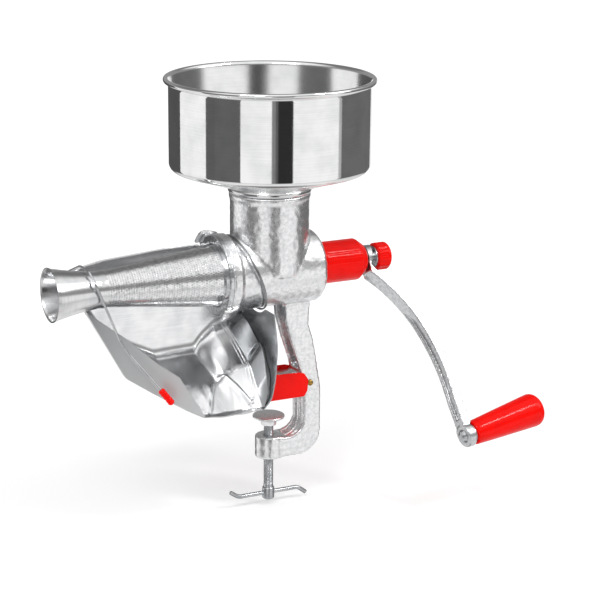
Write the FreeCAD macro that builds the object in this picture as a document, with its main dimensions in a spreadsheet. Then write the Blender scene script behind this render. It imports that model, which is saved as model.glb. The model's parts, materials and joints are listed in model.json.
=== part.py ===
import FreeCAD, Part
import math
import os
import Sketcher

# Hand cranked tomato strainer, millimetres, +Z up.
# The part's origin is the table seat: the underside of the table pad, on the clamp screw's axis.
# +X runs along the barrel towards the crank, -Y is the side that the juice pours to.
# Pieces round the barrel are drawn about its axis and lifted by axis_height into the part's frame.

document = FreeCAD.newDocument("TomatoStrainer")
sheet = document.addObject("Spreadsheet::Sheet", "Sizes")

driving_sizes = {
    # cast body
    "axis_height": 134.5,
    "running_gap": 0.05,
    "seat_gap": 0.3,
    "face_gap": 0.1,
    "barrel_radius": 36.9,
    "barrel_bore": 31.0,
    "barrel_front": 57.0,
    "barrel_back": 49.5,
    "barrel_end_wall": 11.0,
    "collar_radius": 41.5,
    "collar_length": 9.0,
    "neck_radius": 39.7,
    "neck_bore": 34.5,
    "neck_top": 81.0,
    "casting_round": 4.0,
    "lug_count": 2.0,
    "lug_reach": 5.5,
    "lug_arc": 30.0,
    "frame_depth": 28.0,
    "frame_web": 13.0,
    "frame_wall": 4.5,
    "leg_outer": 52.5,
    "leg_width": 18.5,
    "leg_bottom": 63.5,
    "foot_thickness": 21.0,
    "jaw_thickness": 18.0,
    "jaw_reach": 10.0,
    "boss_radius": 14.0,
    # clamp
    "clamp_gap": 20.0,
    "screw_radius": 5.0,
    "screw_drop": 111.5,
    "screw_head_radius": 6.25,
    "screw_head_height": 13.0,
    "disc_radius": 16.5,
    "disc_thickness": 5.0,
    "tommy_radius": 2.25,
    "tommy_half": 34.0,
    "tommy_bend": 9.0,
    "pad_length": 50.0,
    "pad_wall": 3.0,
    "pad_height": 27.0,
    "pad_screw_radius": 1.6,
    # hopper
    "hopper_radius": 100.0,
    "hopper_top": 193.5,
    "hopper_floor": 103.0,
    "hopper_corner": 7.0,
    "hopper_sheet": 1.2,
    "rim_bead": 2.4,
    "spigot_shoulder": 41.5,
    "spigot_band": 5.0,
    "spigot_depth": 22.0,
    # strainer cone and waste funnel
    "flange_thickness": 5.0,
    "cone_large": 31.0,
    "cone_small": 17.0,
    "cone_length": 123.0,
    "cone_sheet": 1.0,
    "funnel_mouth": 26.8,
    "funnel_length": 48.0,
    # auger
    "auger_gap": 1.2,
    "auger_core_back": 13.0,
    "auger_core_front": 6.5,
    "auger_pitch": 43.0,
    "auger_flight": 4.0,
    "shaft_radius": 8.0,
    "drive_pin_radius": 2.0,
    "spring_wire": 1.1,
    "spring_turns": 4.0,
    # bushing, crank and knob
    "bushing_radius": 21.5,
    "bushing_length": 56.0,
    "bushing_flutes": 14.0,
    "seal_length": 3.5,
    "washer_thickness": 1.5,
    "hub_thickness": 10.0,
    "hub_radius": 13.0,
    "crank_angle": 34.0,
    "crank_radius": 201.0,
    "crank_offset": 58.0,
    "crank_thickness": 9.0,
    "crank_width": 19.0,
    "eye_radius": 12.0,
    "knob_radius": 15.0,
    "knob_length": 17.5,
    "knob_thread": 5.0,
    "grip_tilt": 10.0,
    "grip_length": 86.0,
    "grip_small": 12.5,
    "grip_large": 17.5,
    "grip_pin_radius": 4.0,
    # juice tray, its hanger and latch
    "tray_far": 47.5,
    "tray_near": 46.0,
    "tray_sheet": 1.2,
    "nose_overlap": 11.0,
    "spout_corner": 92.0,
    "spout_length": 11.0,
    "tray_lip": 132.0,
    "hoop_clearance": 4.3,
    "hoop_width": 2.4,
    "hoop_sheet": 1.6,
    "hoop_tilt": 20.8,
    "latch_wire": 1.2,
    "latch_tip_radius": 3.5,
    "latch_tip_length": 19.0,
}

for row, (alias, number) in enumerate(driving_sizes.items(), start=1):
    sheet.set(f"A{row}", alias)
    sheet.set(f"B{row}", str(number))
    sheet.setAlias(f"B{row}", alias)
document.recompute()


class Size:
    """A length that knows its number and the sheet formula that it comes from."""

    def __init__(self, number, text):
        self.number = float(number)
        self.text = text

    def __add__(self, other):
        other = as_size(other)
        return Size(self.number + other.number, f"({self.text} + {other.text})")

    def __sub__(self, other):
        other = as_size(other)
        return Size(self.number - other.number, f"({self.text} - {other.text})")

    def __mul__(self, factor):
        factor = as_size(factor)
        return Size(self.number * factor.number, f"({self.text} * {factor.text})")

    def __truediv__(self, divisor):
        divisor = as_size(divisor)
        return Size(self.number / divisor.number, f"({self.text} / {divisor.text})")

    def __neg__(self):
        return Size(-self.number, f"(0 - {self.text})")

    def __radd__(self, other):
        return as_size(other) + self

    def __rsub__(self, other):
        return as_size(other) - self

    def __rmul__(self, other):
        return as_size(other) * self


def as_size(value):
    if isinstance(value, Size):
        return value
    return Size(value, f"({float(value)!r})")


def cosine(angle):
    return Size(math.cos(math.radians(angle.number)), f"cos({angle.text} * 1deg)")


def sine(angle):
    return Size(math.sin(math.radians(angle.number)), f"sin({angle.text} * 1deg)")


class Sheet:
    """Reads a driving size by its alias."""

    def __getattr__(self, alias):
        return Size(driving_sizes[alias], f"Sizes.{alias}")


of = Sheet()


# Helpers that draw with bound sizes


def bind(target, path, value):
    """Sets a property from a size and ties it to the sheet."""
    target.setExpression(path, as_size(value).text)


def place(piece, x=0, y=0, z=0):
    for axis, value in zip("xyz", (x, y, z)):
        bind(piece, f"Placement.Base.{axis}", value)
    return piece


def turn(piece, axis, angle):
    """Turns a placed piece about its own local axis."""
    piece.Placement.Rotation = FreeCAD.Rotation(FreeCAD.Vector(*axis), as_size(angle).number)
    bind(piece, "Placement.Rotation.Angle", angle)
    return piece


def lift(piece):
    """Carries a piece that is drawn about the barrel's axis up to that axis."""
    return place(piece, 0, 0, of.axis_height)


def new_body(name):
    body = document.addObject("PartDesign::Body", name)
    body.Label = name
    return body


def origin_feature(body, role):
    for feature in body.Origin.OriginFeatures:
        if feature.Role == role:
            return feature
    raise ValueError(role)


def new_sketch(body, plane, offset=(0, 0, 0)):
    """Starts a sketch on one of the body's own planes, moved along the sketch's u, v and normal."""
    sketch = body.newObject("Sketcher::SketchObject", f"{body.Name}_sketch")
    sketch.AttachmentSupport = [(origin_feature(body, plane), "")]
    sketch.MapMode = "FlatFace"
    for axis, value in zip("xyz", offset):
        bind(sketch, f"AttachmentOffset.Base.{axis}", value)
    return sketch


def fix_point(sketch, geometry, end, u, v):
    for kind, value in (("DistanceX", as_size(u)), ("DistanceY", as_size(v))):
        constraint = Sketcher.Constraint(kind, -1, 1, geometry, end, value.number)
        index = sketch.addConstraint(constraint)
        sketch.setExpression(f"Constraints[{index}]", value.text)


def draw_outline(sketch, corners):
    """Draws a closed outline. A corner is (u, v), or (u, v, via_u, via_v) where an arc leads to it."""
    count = len(corners)
    spots = [FreeCAD.Vector(as_size(c[0]).number, as_size(c[1]).number, 0) for c in corners]
    edges = []
    for index in range(count):
        target = (index + 1) % count
        corner = corners[target]
        if len(corner) == 4:
            via = FreeCAD.Vector(as_size(corner[2]).number, as_size(corner[3]).number, 0)
            curve = Part.Arc(spots[index], via, spots[target])
        else:
            via = None
            curve = Part.LineSegment(spots[index], spots[target])
        edge = sketch.addGeometry(curve, False)
        swapped = sketch.getPoint(edge, 1).distanceToPoint(spots[index]) > 1e-6
        edges.append((edge, via, swapped))
    for index, (edge, via, swapped) in enumerate(edges):
        following, _, next_swapped = edges[(index + 1) % count]
        end = 1 if swapped else 2
        start = 2 if next_swapped else 1
        sketch.addConstraint(Sketcher.Constraint("Coincident", edge, end, following, start))
        corner = corners[(index + 1) % count]
        fix_point(sketch, following, start, corner[0], corner[1])
        if via is not None:
            dot = sketch.addGeometry(Part.Point(via), True)
            fix_point(sketch, dot, 1, corner[2], corner[3])
            sketch.addConstraint(Sketcher.Constraint("PointOnObject", dot, 1, edge))
    return sketch


def draw_circle(sketch, u, v, radius):
    u, v, radius = as_size(u), as_size(v), as_size(radius)
    centre = FreeCAD.Vector(u.number, v.number, 0)
    circle = sketch.addGeometry(Part.Circle(centre, FreeCAD.Vector(0, 0, 1), radius.number), False)
    fix_point(sketch, circle, 3, u, v)
    index = sketch.addConstraint(Sketcher.Constraint("Radius", circle, radius.number))
    sketch.setExpression(f"Constraints[{index}]", radius.text)
    return sketch


def revolve(body, corners, kind="PartDesign::Revolution", axis="H_Axis", plane="XZ_Plane"):
    """Turns an outline a full round about the sketch's H_Axis or V_Axis."""
    sketch = new_sketch(body, plane)
    if len(corners) == 3 and not isinstance(corners[0], tuple):
        draw_circle(sketch, *corners)
    else:
        draw_outline(sketch, corners)
    feature = body.newObject(kind, f"{body.Name}_turned")
    feature.Profile = sketch
    feature.ReferenceAxis = (sketch, [axis])
    feature.Angle = 360
    document.recompute()
    return feature


def extrude(body, sketch, length, kind="PartDesign::Pad", symmetric=True, reverse=False):
    feature = body.newObject(kind, f"{body.Name}_extruded")
    feature.Profile = sketch
    feature.Reversed = reverse
    bind(feature, "Length", length)
    if symmetric:
        feature.SideType = "Symmetric"
    document.recompute()
    return feature


def edges_at(feature, chosen):
    """Names the edges of a feature that the test picks."""
    names = []
    for index, edge in enumerate(feature.Shape.Edges, start=1):
        if chosen(edge):
            names.append(f"Edge{index}")
    if not names:
        raise ValueError(f"no edge picked on {feature.Name}")
    return names


def soften(body, base, chosen, radius, kind="PartDesign::Fillet"):
    """Rounds or chamfers the picked edges of the feature that the body ends with."""
    names = edges_at(base, chosen)
    feature = body.newObject(kind, f"{body.Name}_softened")
    feature.Base = (base, names)
    bind(feature, "Radius" if kind.endswith("Fillet") else "Size", radius)
    document.recompute()
    return feature


def circle_at(edge, axis, position, radius):
    """True for a full circle round a main axis at a position along it."""
    if edge.Curve.TypeId != "Part::GeomCircle":
        return False
    centre = edge.Curve.Center
    return (
        abs(getattr(centre, axis) - as_size(position).number) < 0.05
        and abs(edge.Curve.Radius - as_size(radius).number) < 0.05
    )


def ring(name, inner, outer, start, length, axis=(1, 0, 0)):
    """A plain ring or washer, from start along X or Z."""
    solids = []
    for radius, wider in ((outer, 0), (inner, 1)):
        solid = document.addObject("Part::Cylinder", f"{name}_round")
        bind(solid, "Radius", radius)
        bind(solid, "Height", as_size(length) + 2 * wider)
        begin = as_size(start) - wider
        if axis == (1, 0, 0):
            place(solid, begin, 0, of.axis_height)
            turn(solid, (0, 1, 0), 90)
        else:
            place(solid, 0, 0, begin)
        solids.append(solid)
    return cut(name, solids[0], solids[1])


def cut(name, base, tool):
    result = document.addObject("Part::Cut", name)
    result.Label = name
    result.Base = base
    result.Tool = tool
    return result


def common(name, *shapes):
    result = document.addObject("Part::MultiCommon", name)
    result.Label = name
    result.Shapes = list(shapes)
    return result


def fuse(name, *shapes):
    result = document.addObject("Part::MultiFuse", name)
    result.Label = name
    result.Shapes = list(shapes)
    return result


nodes = []


def keep(piece):
    """Adds a finished piece to the list that is exported."""
    nodes.append(piece)
    return piece


# Heights and stations that several pieces share, measured from the barrel's axis


seat = -of.axis_height
pad_inner = seat + of.pad_wall
jaw_bottom = pad_inner + of.seat_gap
jaw_top = jaw_bottom + of.jaw_thickness
leg_inner = of.leg_outer - of.leg_width
foot_bottom = seat - of.leg_bottom
foot_top = foot_bottom + of.foot_thickness
flange_front = -(of.barrel_front + of.flange_thickness)
cone_end = flange_front - of.cone_length
bushing_end = of.barrel_back + of.bushing_length
hub_start = bushing_end + of.washer_thickness + of.seat_gap
hub_end = hub_start + of.hub_thickness
knob_start = hub_end + of.washer_thickness
hoop_radius = of.barrel_radius + of.hoop_clearance
tray_nose = of.nose_overlap - cone_end


# Cast body: barrel, feed neck and C frame in one casting


def casting_neck_foot(body):
    """Trims the neck's lower end to a rounded U that stands proud of the barrel."""
    sketch = new_sketch(body, "XZ_Plane")
    side = of.neck_radius + 3
    draw_outline(sketch, [
        (-side, -of.neck_radius),
        (side, -of.neck_radius),
        (side, of.neck_radius),
        (of.neck_radius, of.neck_radius),
        (-of.neck_radius, of.neck_radius, 0, 0.5),
        (-side, of.neck_radius),
    ])
    return sketch


def make_neck():
    body = new_body("neck_rough")
    revolve(body, [
        (0, 0),
        (of.neck_radius, 0),
        (of.neck_radius, of.neck_top - 7),
        (of.neck_radius + 1.2, of.neck_top - 5),
        (of.neck_radius + 1.2, of.neck_top),
        (0, of.neck_top),
    ], axis="V_Axis")
    extrude(body, casting_neck_foot(body), 3 * of.neck_radius, "PartDesign::Pocket")
    return body


def make_barrel():
    body = new_body("barrel_rough")
    collar_end = of.collar_length - of.barrel_front
    barrel = revolve(body, [
        (-of.barrel_front, 0),
        (-of.barrel_front, of.collar_radius),
        (collar_end, of.collar_radius),
        (collar_end + 3, of.barrel_radius),
        (of.barrel_back, of.barrel_radius),
        (of.barrel_back, 0),
    ])
    soften(
        body,
        barrel,
        lambda e: circle_at(e, "x", of.barrel_back, of.barrel_radius),
        of.casting_round,
        "PartDesign::Chamfer",
    )
    return body


def make_bores():
    """The room inside the casting: auger bore, feed throat and the bushing's seat."""
    barrel = new_body("barrel_bore_room")
    wall_inner = of.barrel_back - of.barrel_end_wall
    revolve(barrel, [
        (-of.barrel_front - 1, 0),
        (-of.barrel_front - 1, of.barrel_bore),
        (wall_inner - 4, of.barrel_bore),
        (wall_inner, of.barrel_bore - 6),
        (wall_inner, 14),
        (of.barrel_back + 1, 14),
        (of.barrel_back + 1, 0),
    ])
    throat = new_body("feed_throat_room")
    revolve(throat, [
        (0, 0),
        (of.neck_bore - 5, 0),
        (of.neck_bore - 5, of.neck_top - of.spigot_depth - 4),
        (of.neck_bore, of.neck_top - of.spigot_depth),
        (of.neck_bore, of.neck_top + 1),
        (0, of.neck_top + 1),
    ], axis="V_Axis")
    return fuse("casting_rooms", barrel, throat)


def frame_outline(inset):
    """The C frame's side outline, from the barrel's underside to the clamp boss."""
    outer = of.leg_outer - inset
    low = foot_bottom + inset
    inner = leg_inner + inset
    shelf = foot_top - inset
    root = -of.barrel_radius + 8
    return [
        (10 + inset, root),
        (12 + inset, -52),
        (19 + inset, -77),
        (inner - 7, -100),
        (inner, seat + 6),
        (inner, foot_top + 18),
        (inner - 16, shelf, inner - 5, foot_top + 5),
        (of.boss_radius * 0.4, shelf),
        (of.boss_radius * 0.4, low),
        (outer - 26, low),
        (outer, low + 26, outer - 7, low + 7),
        (outer, seat + 8),
        (outer - 8.5, seat + 57),
        (outer - 14, seat + 75),
        (outer - 13, root),
    ]


def make_frame():
    """A C frame cast as a channel that is open towards the table."""
    body = new_body("frame_rough")
    extrude(body, draw_outline(new_sketch(body, "XZ_Plane"), frame_outline(0)), of.frame_depth)
    jaw = new_sketch(body, "XZ_Plane")
    draw_outline(jaw, [
        (-of.jaw_reach, jaw_bottom),
        (leg_inner + 4, jaw_bottom),
        (leg_inner + 4, jaw_top + 8),
        (leg_inner - 4, jaw_top + 1),
        (-of.jaw_reach + 6, jaw_top),
        (-of.jaw_reach, jaw_top - 5),
    ])
    extrude(body, jaw, of.frame_depth)
    for outline in channel_outlines():
        sketch = draw_outline(new_sketch(body, "XZ_Plane"), outline)
        extrude(body, sketch, of.frame_depth - 2 * of.frame_wall, "PartDesign::Pocket")
    return body


def channel_outlines():
    """The two stretches of the channel, above and below the jaw."""
    web = of.frame_web
    upper = [
        (4, -of.barrel_radius),
        (4, jaw_top + 14),
        (leg_inner - 8, jaw_top + 7),
        (of.leg_outer - web, jaw_top + 7),
        (of.leg_outer - web - 8.5, seat + 57),
        (of.leg_outer - web - 14, seat + 75),
        (of.leg_outer - web - 13, -of.barrel_radius),
    ]
    lower = [
        (leg_inner - 20, jaw_bottom - 6),
        (of.leg_outer - web, jaw_bottom - 6),
        (of.leg_outer - web, foot_bottom + web + 20),
        (of.leg_outer - web - 20, foot_bottom + web, of.leg_outer - web - 6, foot_bottom + web + 6),
        (of.boss_radius + 3, foot_bottom + web),
        (of.boss_radius + 3, foot_top + 6),
        (leg_inner - 20, foot_top + 6),
    ]
    return upper, lower


def make_casting():
    frame = make_frame()

    boss = document.addObject("Part::Cylinder", "clamp_boss")
    bind(boss, "Radius", of.boss_radius)
    bind(boss, "Height", of.foot_thickness + 3)
    place(boss, 0, 0, foot_bottom - 2)
    tapped = document.addObject("Part::Cylinder", "clamp_boss_bore")
    bind(tapped, "Radius", of.screw_radius + of.running_gap)
    bind(tapped, "Height", of.foot_thickness + 20)
    place(tapped, 0, 0, foot_bottom - 8)

    pad_hole = document.addObject("Part::Cylinder", "pad_screw_hole")
    bind(pad_hole, "Radius", of.pad_screw_radius + of.running_gap)
    bind(pad_hole, "Height", of.frame_depth / 2)
    place(pad_hole, pad_screw_x, -of.frame_depth / 2 - 1, pad_screw_z)
    turn(pad_hole, (1, 0, 0), -90)

    outside = fuse("casting_outside", make_barrel(), make_neck(), frame, boss, make_lugs())
    rooms = fuse("casting_openings", make_bores(), tapped, pad_hole)
    return keep(lift(cut("body_casting", outside, rooms)))


def make_lugs():
    """Bayonet hooks that stand out from the collar and reach over the flange's ears."""
    hooks = []
    ear_top = of.collar_radius + of.lug_reach - 3
    for index in range(int(of.lug_count.number)):
        body = new_body(f"lug_{index}")
        sketch = new_sketch(body, "XZ_Plane")
        draw_outline(sketch, [
            (of.collar_length - of.barrel_front, of.collar_radius - 2),
            (of.collar_length - of.barrel_front, of.collar_radius + of.lug_reach - 3),
            (-of.barrel_front - 2, of.collar_radius + of.lug_reach),
            (flange_front - 4, of.collar_radius + of.lug_reach),
            (flange_front - 4, of.collar_radius + 1.2),
            (flange_front - of.seat_gap, of.collar_radius + 1.2),
            (flange_front - of.seat_gap, ear_top + of.seat_gap),
            (-of.barrel_front, ear_top + of.seat_gap),
            (-of.barrel_front, of.collar_radius - 2),
        ])
        hook = body.newObject("PartDesign::Revolution", f"lug_turned_{index}")
        hook.Profile = sketch
        hook.ReferenceAxis = (sketch, ["H_Axis"])
        hook.Midplane = True
        bind(hook, "Angle", of.lug_arc)
        body.Placement.Rotation = FreeCAD.Rotation(FreeCAD.Vector(1, 0, 0), lug_angle(index))
        hooks.append(body)
    document.recompute()
    return fuse("casting_lugs", *hooks)


def lug_angle(index):
    """Where a lug stands round the barrel, from straight up; one is low on the pouring side."""
    return 140 + 360 * index / int(of.lug_count.number)


# Table pad: a plastic shoe that is pushed over the jaw, and the screw that holds it


def make_table_pad():
    outside = new_body("pad_outside")
    end = of.pad_length - of.jaw_reach - 4
    sketch = new_sketch(outside, "XZ_Plane")
    draw_outline(sketch, [
        (-of.jaw_reach - 4, seat),
        (end - 3.5, seat),
        (end, seat + 5.5),
        (end + 1, seat + of.pad_height - 9.5),
        (end - 3, seat + of.pad_height - 3),
        (end - 10, seat + of.pad_height - 1),
        (-of.jaw_reach + 12, seat + of.pad_height),
        (-of.jaw_reach - 4, seat + of.pad_height + 4),
    ])
    extrude(outside, sketch, pad_width)
    slopes = new_body("pad_slopes")
    half = pad_width / 2
    slope = new_sketch(slopes, "YZ_Plane")
    draw_outline(slope, [
        (-half, seat - 1),
        (half, seat - 1),
        (half, seat + of.pad_height * 0.6),
        (half - 1.6, seat + of.pad_height + 6),
        (-half + 1.6, seat + of.pad_height + 6),
        (-half, seat + of.pad_height * 0.6),
    ])
    extrude(slopes, slope, 4 * of.pad_length)
    hollow = new_body("pad_hollow")
    room = new_sketch(hollow, "XZ_Plane")
    draw_outline(room, [
        (-of.jaw_reach - of.seat_gap, pad_inner),
        (leg_inner - of.seat_gap, pad_inner),
        (leg_inner - of.seat_gap, seat - 1),
        (end + 9, seat - 1),
        (end + 9, seat + of.pad_height + 9),
        (-of.jaw_reach - of.seat_gap, seat + of.pad_height + 9),
    ])
    extrude(hollow, room, of.frame_depth + 2 * of.seat_gap)
    shoe = common("pad_shoe", outside, slopes)
    return keep(lift(cut("table_pad", shoe, hollow)))


def make_pad_screw():
    body = new_body("table_pad_screw")
    face = -(of.frame_depth / 2 + of.seat_gap / 2)
    revolve_at(body, pad_screw_x, pad_screw_z, [
        (0, face - 2.2),
        (1.6, face - 2.2),
        (3.0, face - 1.2),
        (3.0, face),
        (of.pad_screw_radius, face),
        (of.pad_screw_radius, face + 5),
        (0, face + 6),
    ])
    return keep(lift(body))


def revolve_at(body, x, z, corners):
    """Turns an outline about a line along Y through (x, z). Corners are (radius, y)."""
    sketch = new_sketch(body, "XY_Plane", (x, 0, z))
    draw_outline(sketch, corners)
    feature = body.newObject("PartDesign::Revolution", f"{body.Name}_turned")
    feature.Profile = sketch
    feature.ReferenceAxis = (sketch, ["V_Axis"])
    feature.Angle = 360
    return feature


# Clamp: screw with a swivel disc on its tip and a bent bar through its head


def make_clamp_disc():
    body = new_body("clamp_disc")
    bore = of.screw_radius + of.running_gap
    revolve(body, [
        (0, disc_top),
        (of.disc_radius - 1, disc_top),
        (of.disc_radius, disc_top - 1),
        (of.disc_radius, disc_top - 2.2),
        (bore + 3.5, disc_top - of.disc_thickness),
        (bore + 2.5, disc_top - of.disc_thickness - 6),
        (bore, disc_top - of.disc_thickness - 6),
        (bore, screw_tip + of.running_gap),
        (0, screw_tip + of.running_gap),
    ], axis="V_Axis")
    return keep(body)


def make_clamp_screw():
    body = new_body("screw_turned")
    head_top = screw_end + of.screw_head_height
    revolve(body, [
        (0, screw_tip),
        (of.screw_radius - 1, screw_tip),
        (of.screw_radius, screw_tip - 1),
        (of.screw_radius, head_top),
        (of.screw_head_radius, head_top - 1),
        (of.screw_head_radius, screw_end + 1),
        (of.screw_head_radius - 1, screw_end),
        (0, screw_end),
    ], axis="V_Axis")
    cross = document.addObject("Part::Cylinder", "screw_cross_hole")
    bind(cross, "Radius", of.tommy_radius + of.running_gap)
    bind(cross, "Height", 4 * of.screw_head_radius)
    place(cross, -2 * of.screw_head_radius, 0, tommy_height)
    turn(cross, (0, 1, 0), 90)
    return keep(cut("clamp_screw", body, cross))


def bent_wire(name, points, bend_radius, wire_radius):
    """Sweeps a round wire along straight runs that are joined by tangent arcs."""
    spots = [FreeCAD.Vector(*[as_size(value).number for value in point]) for point in points]
    wire_radius = as_size(wire_radius).number
    edges = []
    start = spots[0]
    for before, corner, after in zip(spots, spots[1:], spots[2:]):
        back = (before - corner).normalize()
        ahead = (after - corner).normalize()
        half = back.getAngle(ahead) / 2
        reach = bend_radius / math.tan(half)
        first = corner + back * reach
        last = corner + ahead * reach
        middle = (back + ahead).normalize()
        top = corner + middle * (bend_radius / math.sin(half) - bend_radius)
        edges.append(Part.LineSegment(start, first).toShape())
        edges.append(Part.Arc(first, top, last).toShape())
        start = last
    edges.append(Part.LineSegment(start, spots[-1]).toShape())
    path = Part.Wire(edges)
    direction = (spots[1] - spots[0]).normalize()
    section = Part.Wire(Part.Circle(spots[0], direction, wire_radius).toShape())
    solid = path.makePipeShell([section], True, True)
    piece = document.addObject("Part::Feature", name)
    piece.Label = name
    piece.Shape = solid
    return piece


def make_tommy_bar():
    end = of.tommy_half + of.tommy_bend
    return keep(bent_wire("tommy_bar", [
        (-end, 0, tommy_height + 6),
        (-of.tommy_half, 0, tommy_height),
        (of.tommy_half, 0, tommy_height),
        (end, 0, tommy_height - 7),
    ], 7, of.tommy_radius))


# Hopper: a spun sheet bowl with a rolled rim, and the spigot that stands in the neck


def make_hopper():
    bowl = new_body("hopper_bowl")
    floor = of.hopper_floor
    corner = of.hopper_corner
    wall = of.hopper_radius
    sheet_wall = of.hopper_sheet
    bulge = corner * (1 - math.sqrt(0.5)) * 0.8
    revolve(bowl, [
        (spigot_inner, spigot_top + 0.05 - 1),
        (of.spigot_shoulder, spigot_top + 0.05),
        (wall - corner, floor),
        (wall - bulge, floor + bulge),
        (wall, floor + corner),
        (wall, of.hopper_top - 5),
        (wall + 3.4, of.hopper_top),
        (wall + 3.4 - sheet_wall, of.hopper_top),
        (wall - sheet_wall, of.hopper_top - 4.5),
        (wall - sheet_wall, floor + corner),
        (wall - bulge - sheet_wall * 0.7, floor + bulge + sheet_wall * 0.7),
        (wall - corner, floor + sheet_wall),
        (of.spigot_shoulder, spigot_top + sheet_wall),
        (spigot_inner, spigot_top + sheet_wall - 1),
    ], axis="V_Axis")
    bead = [
        (
            wall + 4.6 + of.rim_bead * math.cos(math.radians(turn_angle)),
            of.hopper_top - 0.6 + of.rim_bead * math.sin(math.radians(turn_angle)),
        )
        for turn_angle in range(0, 360, 60)
    ]
    revolve(bowl, bead, axis="V_Axis")
    keep(lift(bowl))

    spigot = new_body("hopper_spigot")
    shelf = of.neck_top + of.seat_gap
    revolve(spigot, [
        (spigot_inner, of.neck_top - of.spigot_depth + 1),
        (spigot_outer - 0.5, of.neck_top - of.spigot_depth + 1),
        (spigot_outer, of.neck_top - of.spigot_depth + 4),
        (spigot_outer, shelf),
        (of.spigot_shoulder, shelf),
        (of.spigot_shoulder, spigot_top),
        (spigot_inner, spigot_top - 1),
    ], axis="V_Axis")
    keep(lift(spigot))


# Strainer: bayonet flange, perforated cone and waste funnel turn as one


def make_strainer():
    flange = new_body("flange_disc")
    lip = of.cone_large + 2.2
    back = -(of.barrel_front + of.face_gap)
    revolve(flange, [
        (flange_front, of.cone_large + 0.1),
        (flange_front, of.collar_radius - 1),
        (flange_front + 1, of.collar_radius),
        (back, of.collar_radius),
        (back, lip),
        (back - 1.4, lip),
        (back - 1.4, of.cone_large + 0.1),
    ])
    ears = [flange]
    for index in range(int(of.lug_count.number)):
        body = new_body(f"ear_{index}")
        sketch = new_sketch(body, "XZ_Plane")
        draw_outline(sketch, [
            (flange_front, of.collar_radius - 2),
            (flange_front, ear_radius - 1),
            (flange_front + 1, ear_radius),
            (back, ear_radius),
            (back, of.collar_radius - 2),
        ])
        ear = body.newObject("PartDesign::Revolution", f"ear_turned_{index}")
        ear.Profile = sketch
        ear.ReferenceAxis = (sketch, ["H_Axis"])
        ear.Midplane = True
        bind(ear, "Angle", of.lug_arc - 4)
        body.Placement.Rotation = FreeCAD.Rotation(FreeCAD.Vector(1, 0, 0), lug_angle(index))
        ears.append(body)
    keep(lift(fuse("filter_flange", *ears)))

    cone = new_body("filter_cone")
    revolve(cone, [
        (back, of.cone_large - of.cone_sheet),
        (back, of.cone_large + 2),
        (back - 1.2, of.cone_large + 2),
        (back - 1.2, of.cone_large),
        (flange_front, of.cone_large),
        (cone_end, of.cone_small),
        (cone_end, of.cone_small - of.cone_sheet),
        (flange_front, of.cone_large - of.cone_sheet),
    ])
    keep(lift(cone))

    funnel = new_body("waste_funnel")
    throat = of.cone_small + 0.15
    rise = (of.cone_large - of.cone_small) / of.cone_length * 6
    mouth = cone_end - of.funnel_length
    waist = cone_end - of.funnel_length * 0.45
    flare = throat + (of.funnel_mouth - of.cone_small) * 0.3
    revolve(funnel, [
        (cone_end + 6, throat + rise),
        (cone_end + 6, throat + rise + of.cone_sheet),
        (cone_end, throat + of.cone_sheet),
        (waist, flare + of.cone_sheet),
        (mouth, of.funnel_mouth),
        (mouth, of.funnel_mouth - of.cone_sheet),
        (waist, flare),
        (cone_end, throat),
    ])
    keep(lift(funnel))


# Auger with a helical flight that follows the barrel and then the cone


def make_auger():
    body = new_body("auger_screw")
    back = of.barrel_back - of.barrel_end_wall - 2
    front = cone_end + 4
    revolve(body, [
        (front, 0),
        (front, of.auger_core_front),
        (flange_front, of.auger_core_back - 1.5),
        (back - 6, of.auger_core_back),
        (back, of.auger_core_back),
        (back, 0),
    ])
    profile = new_sketch(body, "XZ_Plane")
    draw_outline(profile, [
        (front + 1, of.auger_core_front - 3.5),
        (front + 1 + of.auger_flight, of.auger_core_front - 3.5),
        (front + 1 + of.auger_flight * 0.8, of.barrel_bore + 2),
        (front + 1 + of.auger_flight * 0.2, of.barrel_bore + 2),
    ])
    flight = body.newObject("PartDesign::AdditiveHelix", "auger_flight_turns")
    flight.Profile = profile
    flight.ReferenceAxis = (profile, ["H_Axis"])
    flight.Mode = 0
    bind(flight, "Pitch", of.auger_pitch)
    bind(flight, "Height", back - front - of.auger_flight - 4)
    document.recompute()
    sweep = of.barrel_bore - of.auger_gap
    tip_radius = of.cone_small - of.cone_sheet - of.auger_gap
    envelope = new_sketch(body, "XZ_Plane")
    draw_outline(envelope, [
        (front - 9, tip_radius - 0.5),
        (flange_front, of.cone_large - of.cone_sheet - of.auger_gap),
        (flange_front + 2, sweep - 1),
        (flange_front + 5, sweep),
        (back + 9, sweep),
        (back + 9, 2 * of.barrel_bore),
        (front - 9, 2 * of.barrel_bore),
    ])
    groove = body.newObject("PartDesign::Groove", "auger_envelope")
    groove.Profile = envelope
    groove.ReferenceAxis = (envelope, ["H_Axis"])
    groove.Angle = 360
    document.recompute()
    bore = new_sketch(body, "XZ_Plane")
    draw_outline(bore, [
        (shaft_start - 1, 0),
        (shaft_start - 1, of.shaft_radius + of.running_gap),
        (back + 1, of.shaft_radius + of.running_gap),
        (back + 1, 0),
    ])
    socket = body.newObject("PartDesign::Groove", "auger_socket")
    socket.Profile = bore
    socket.ReferenceAxis = (bore, ["H_Axis"])
    socket.Angle = 360
    document.recompute()
    cross = new_sketch(body, "XY_Plane")
    draw_circle(cross, pin_x, 0, of.drive_pin_radius + of.running_gap)
    extrude(body, cross, 4 * of.auger_core_back, "PartDesign::Pocket")
    return keep(on_crank(body))


def on_crank(piece):
    """Turns a piece about the barrel's axis with the crank, as far as it stands in the drawing."""
    return turn(lift(piece), (1, 0, 0), -of.crank_angle)


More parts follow.
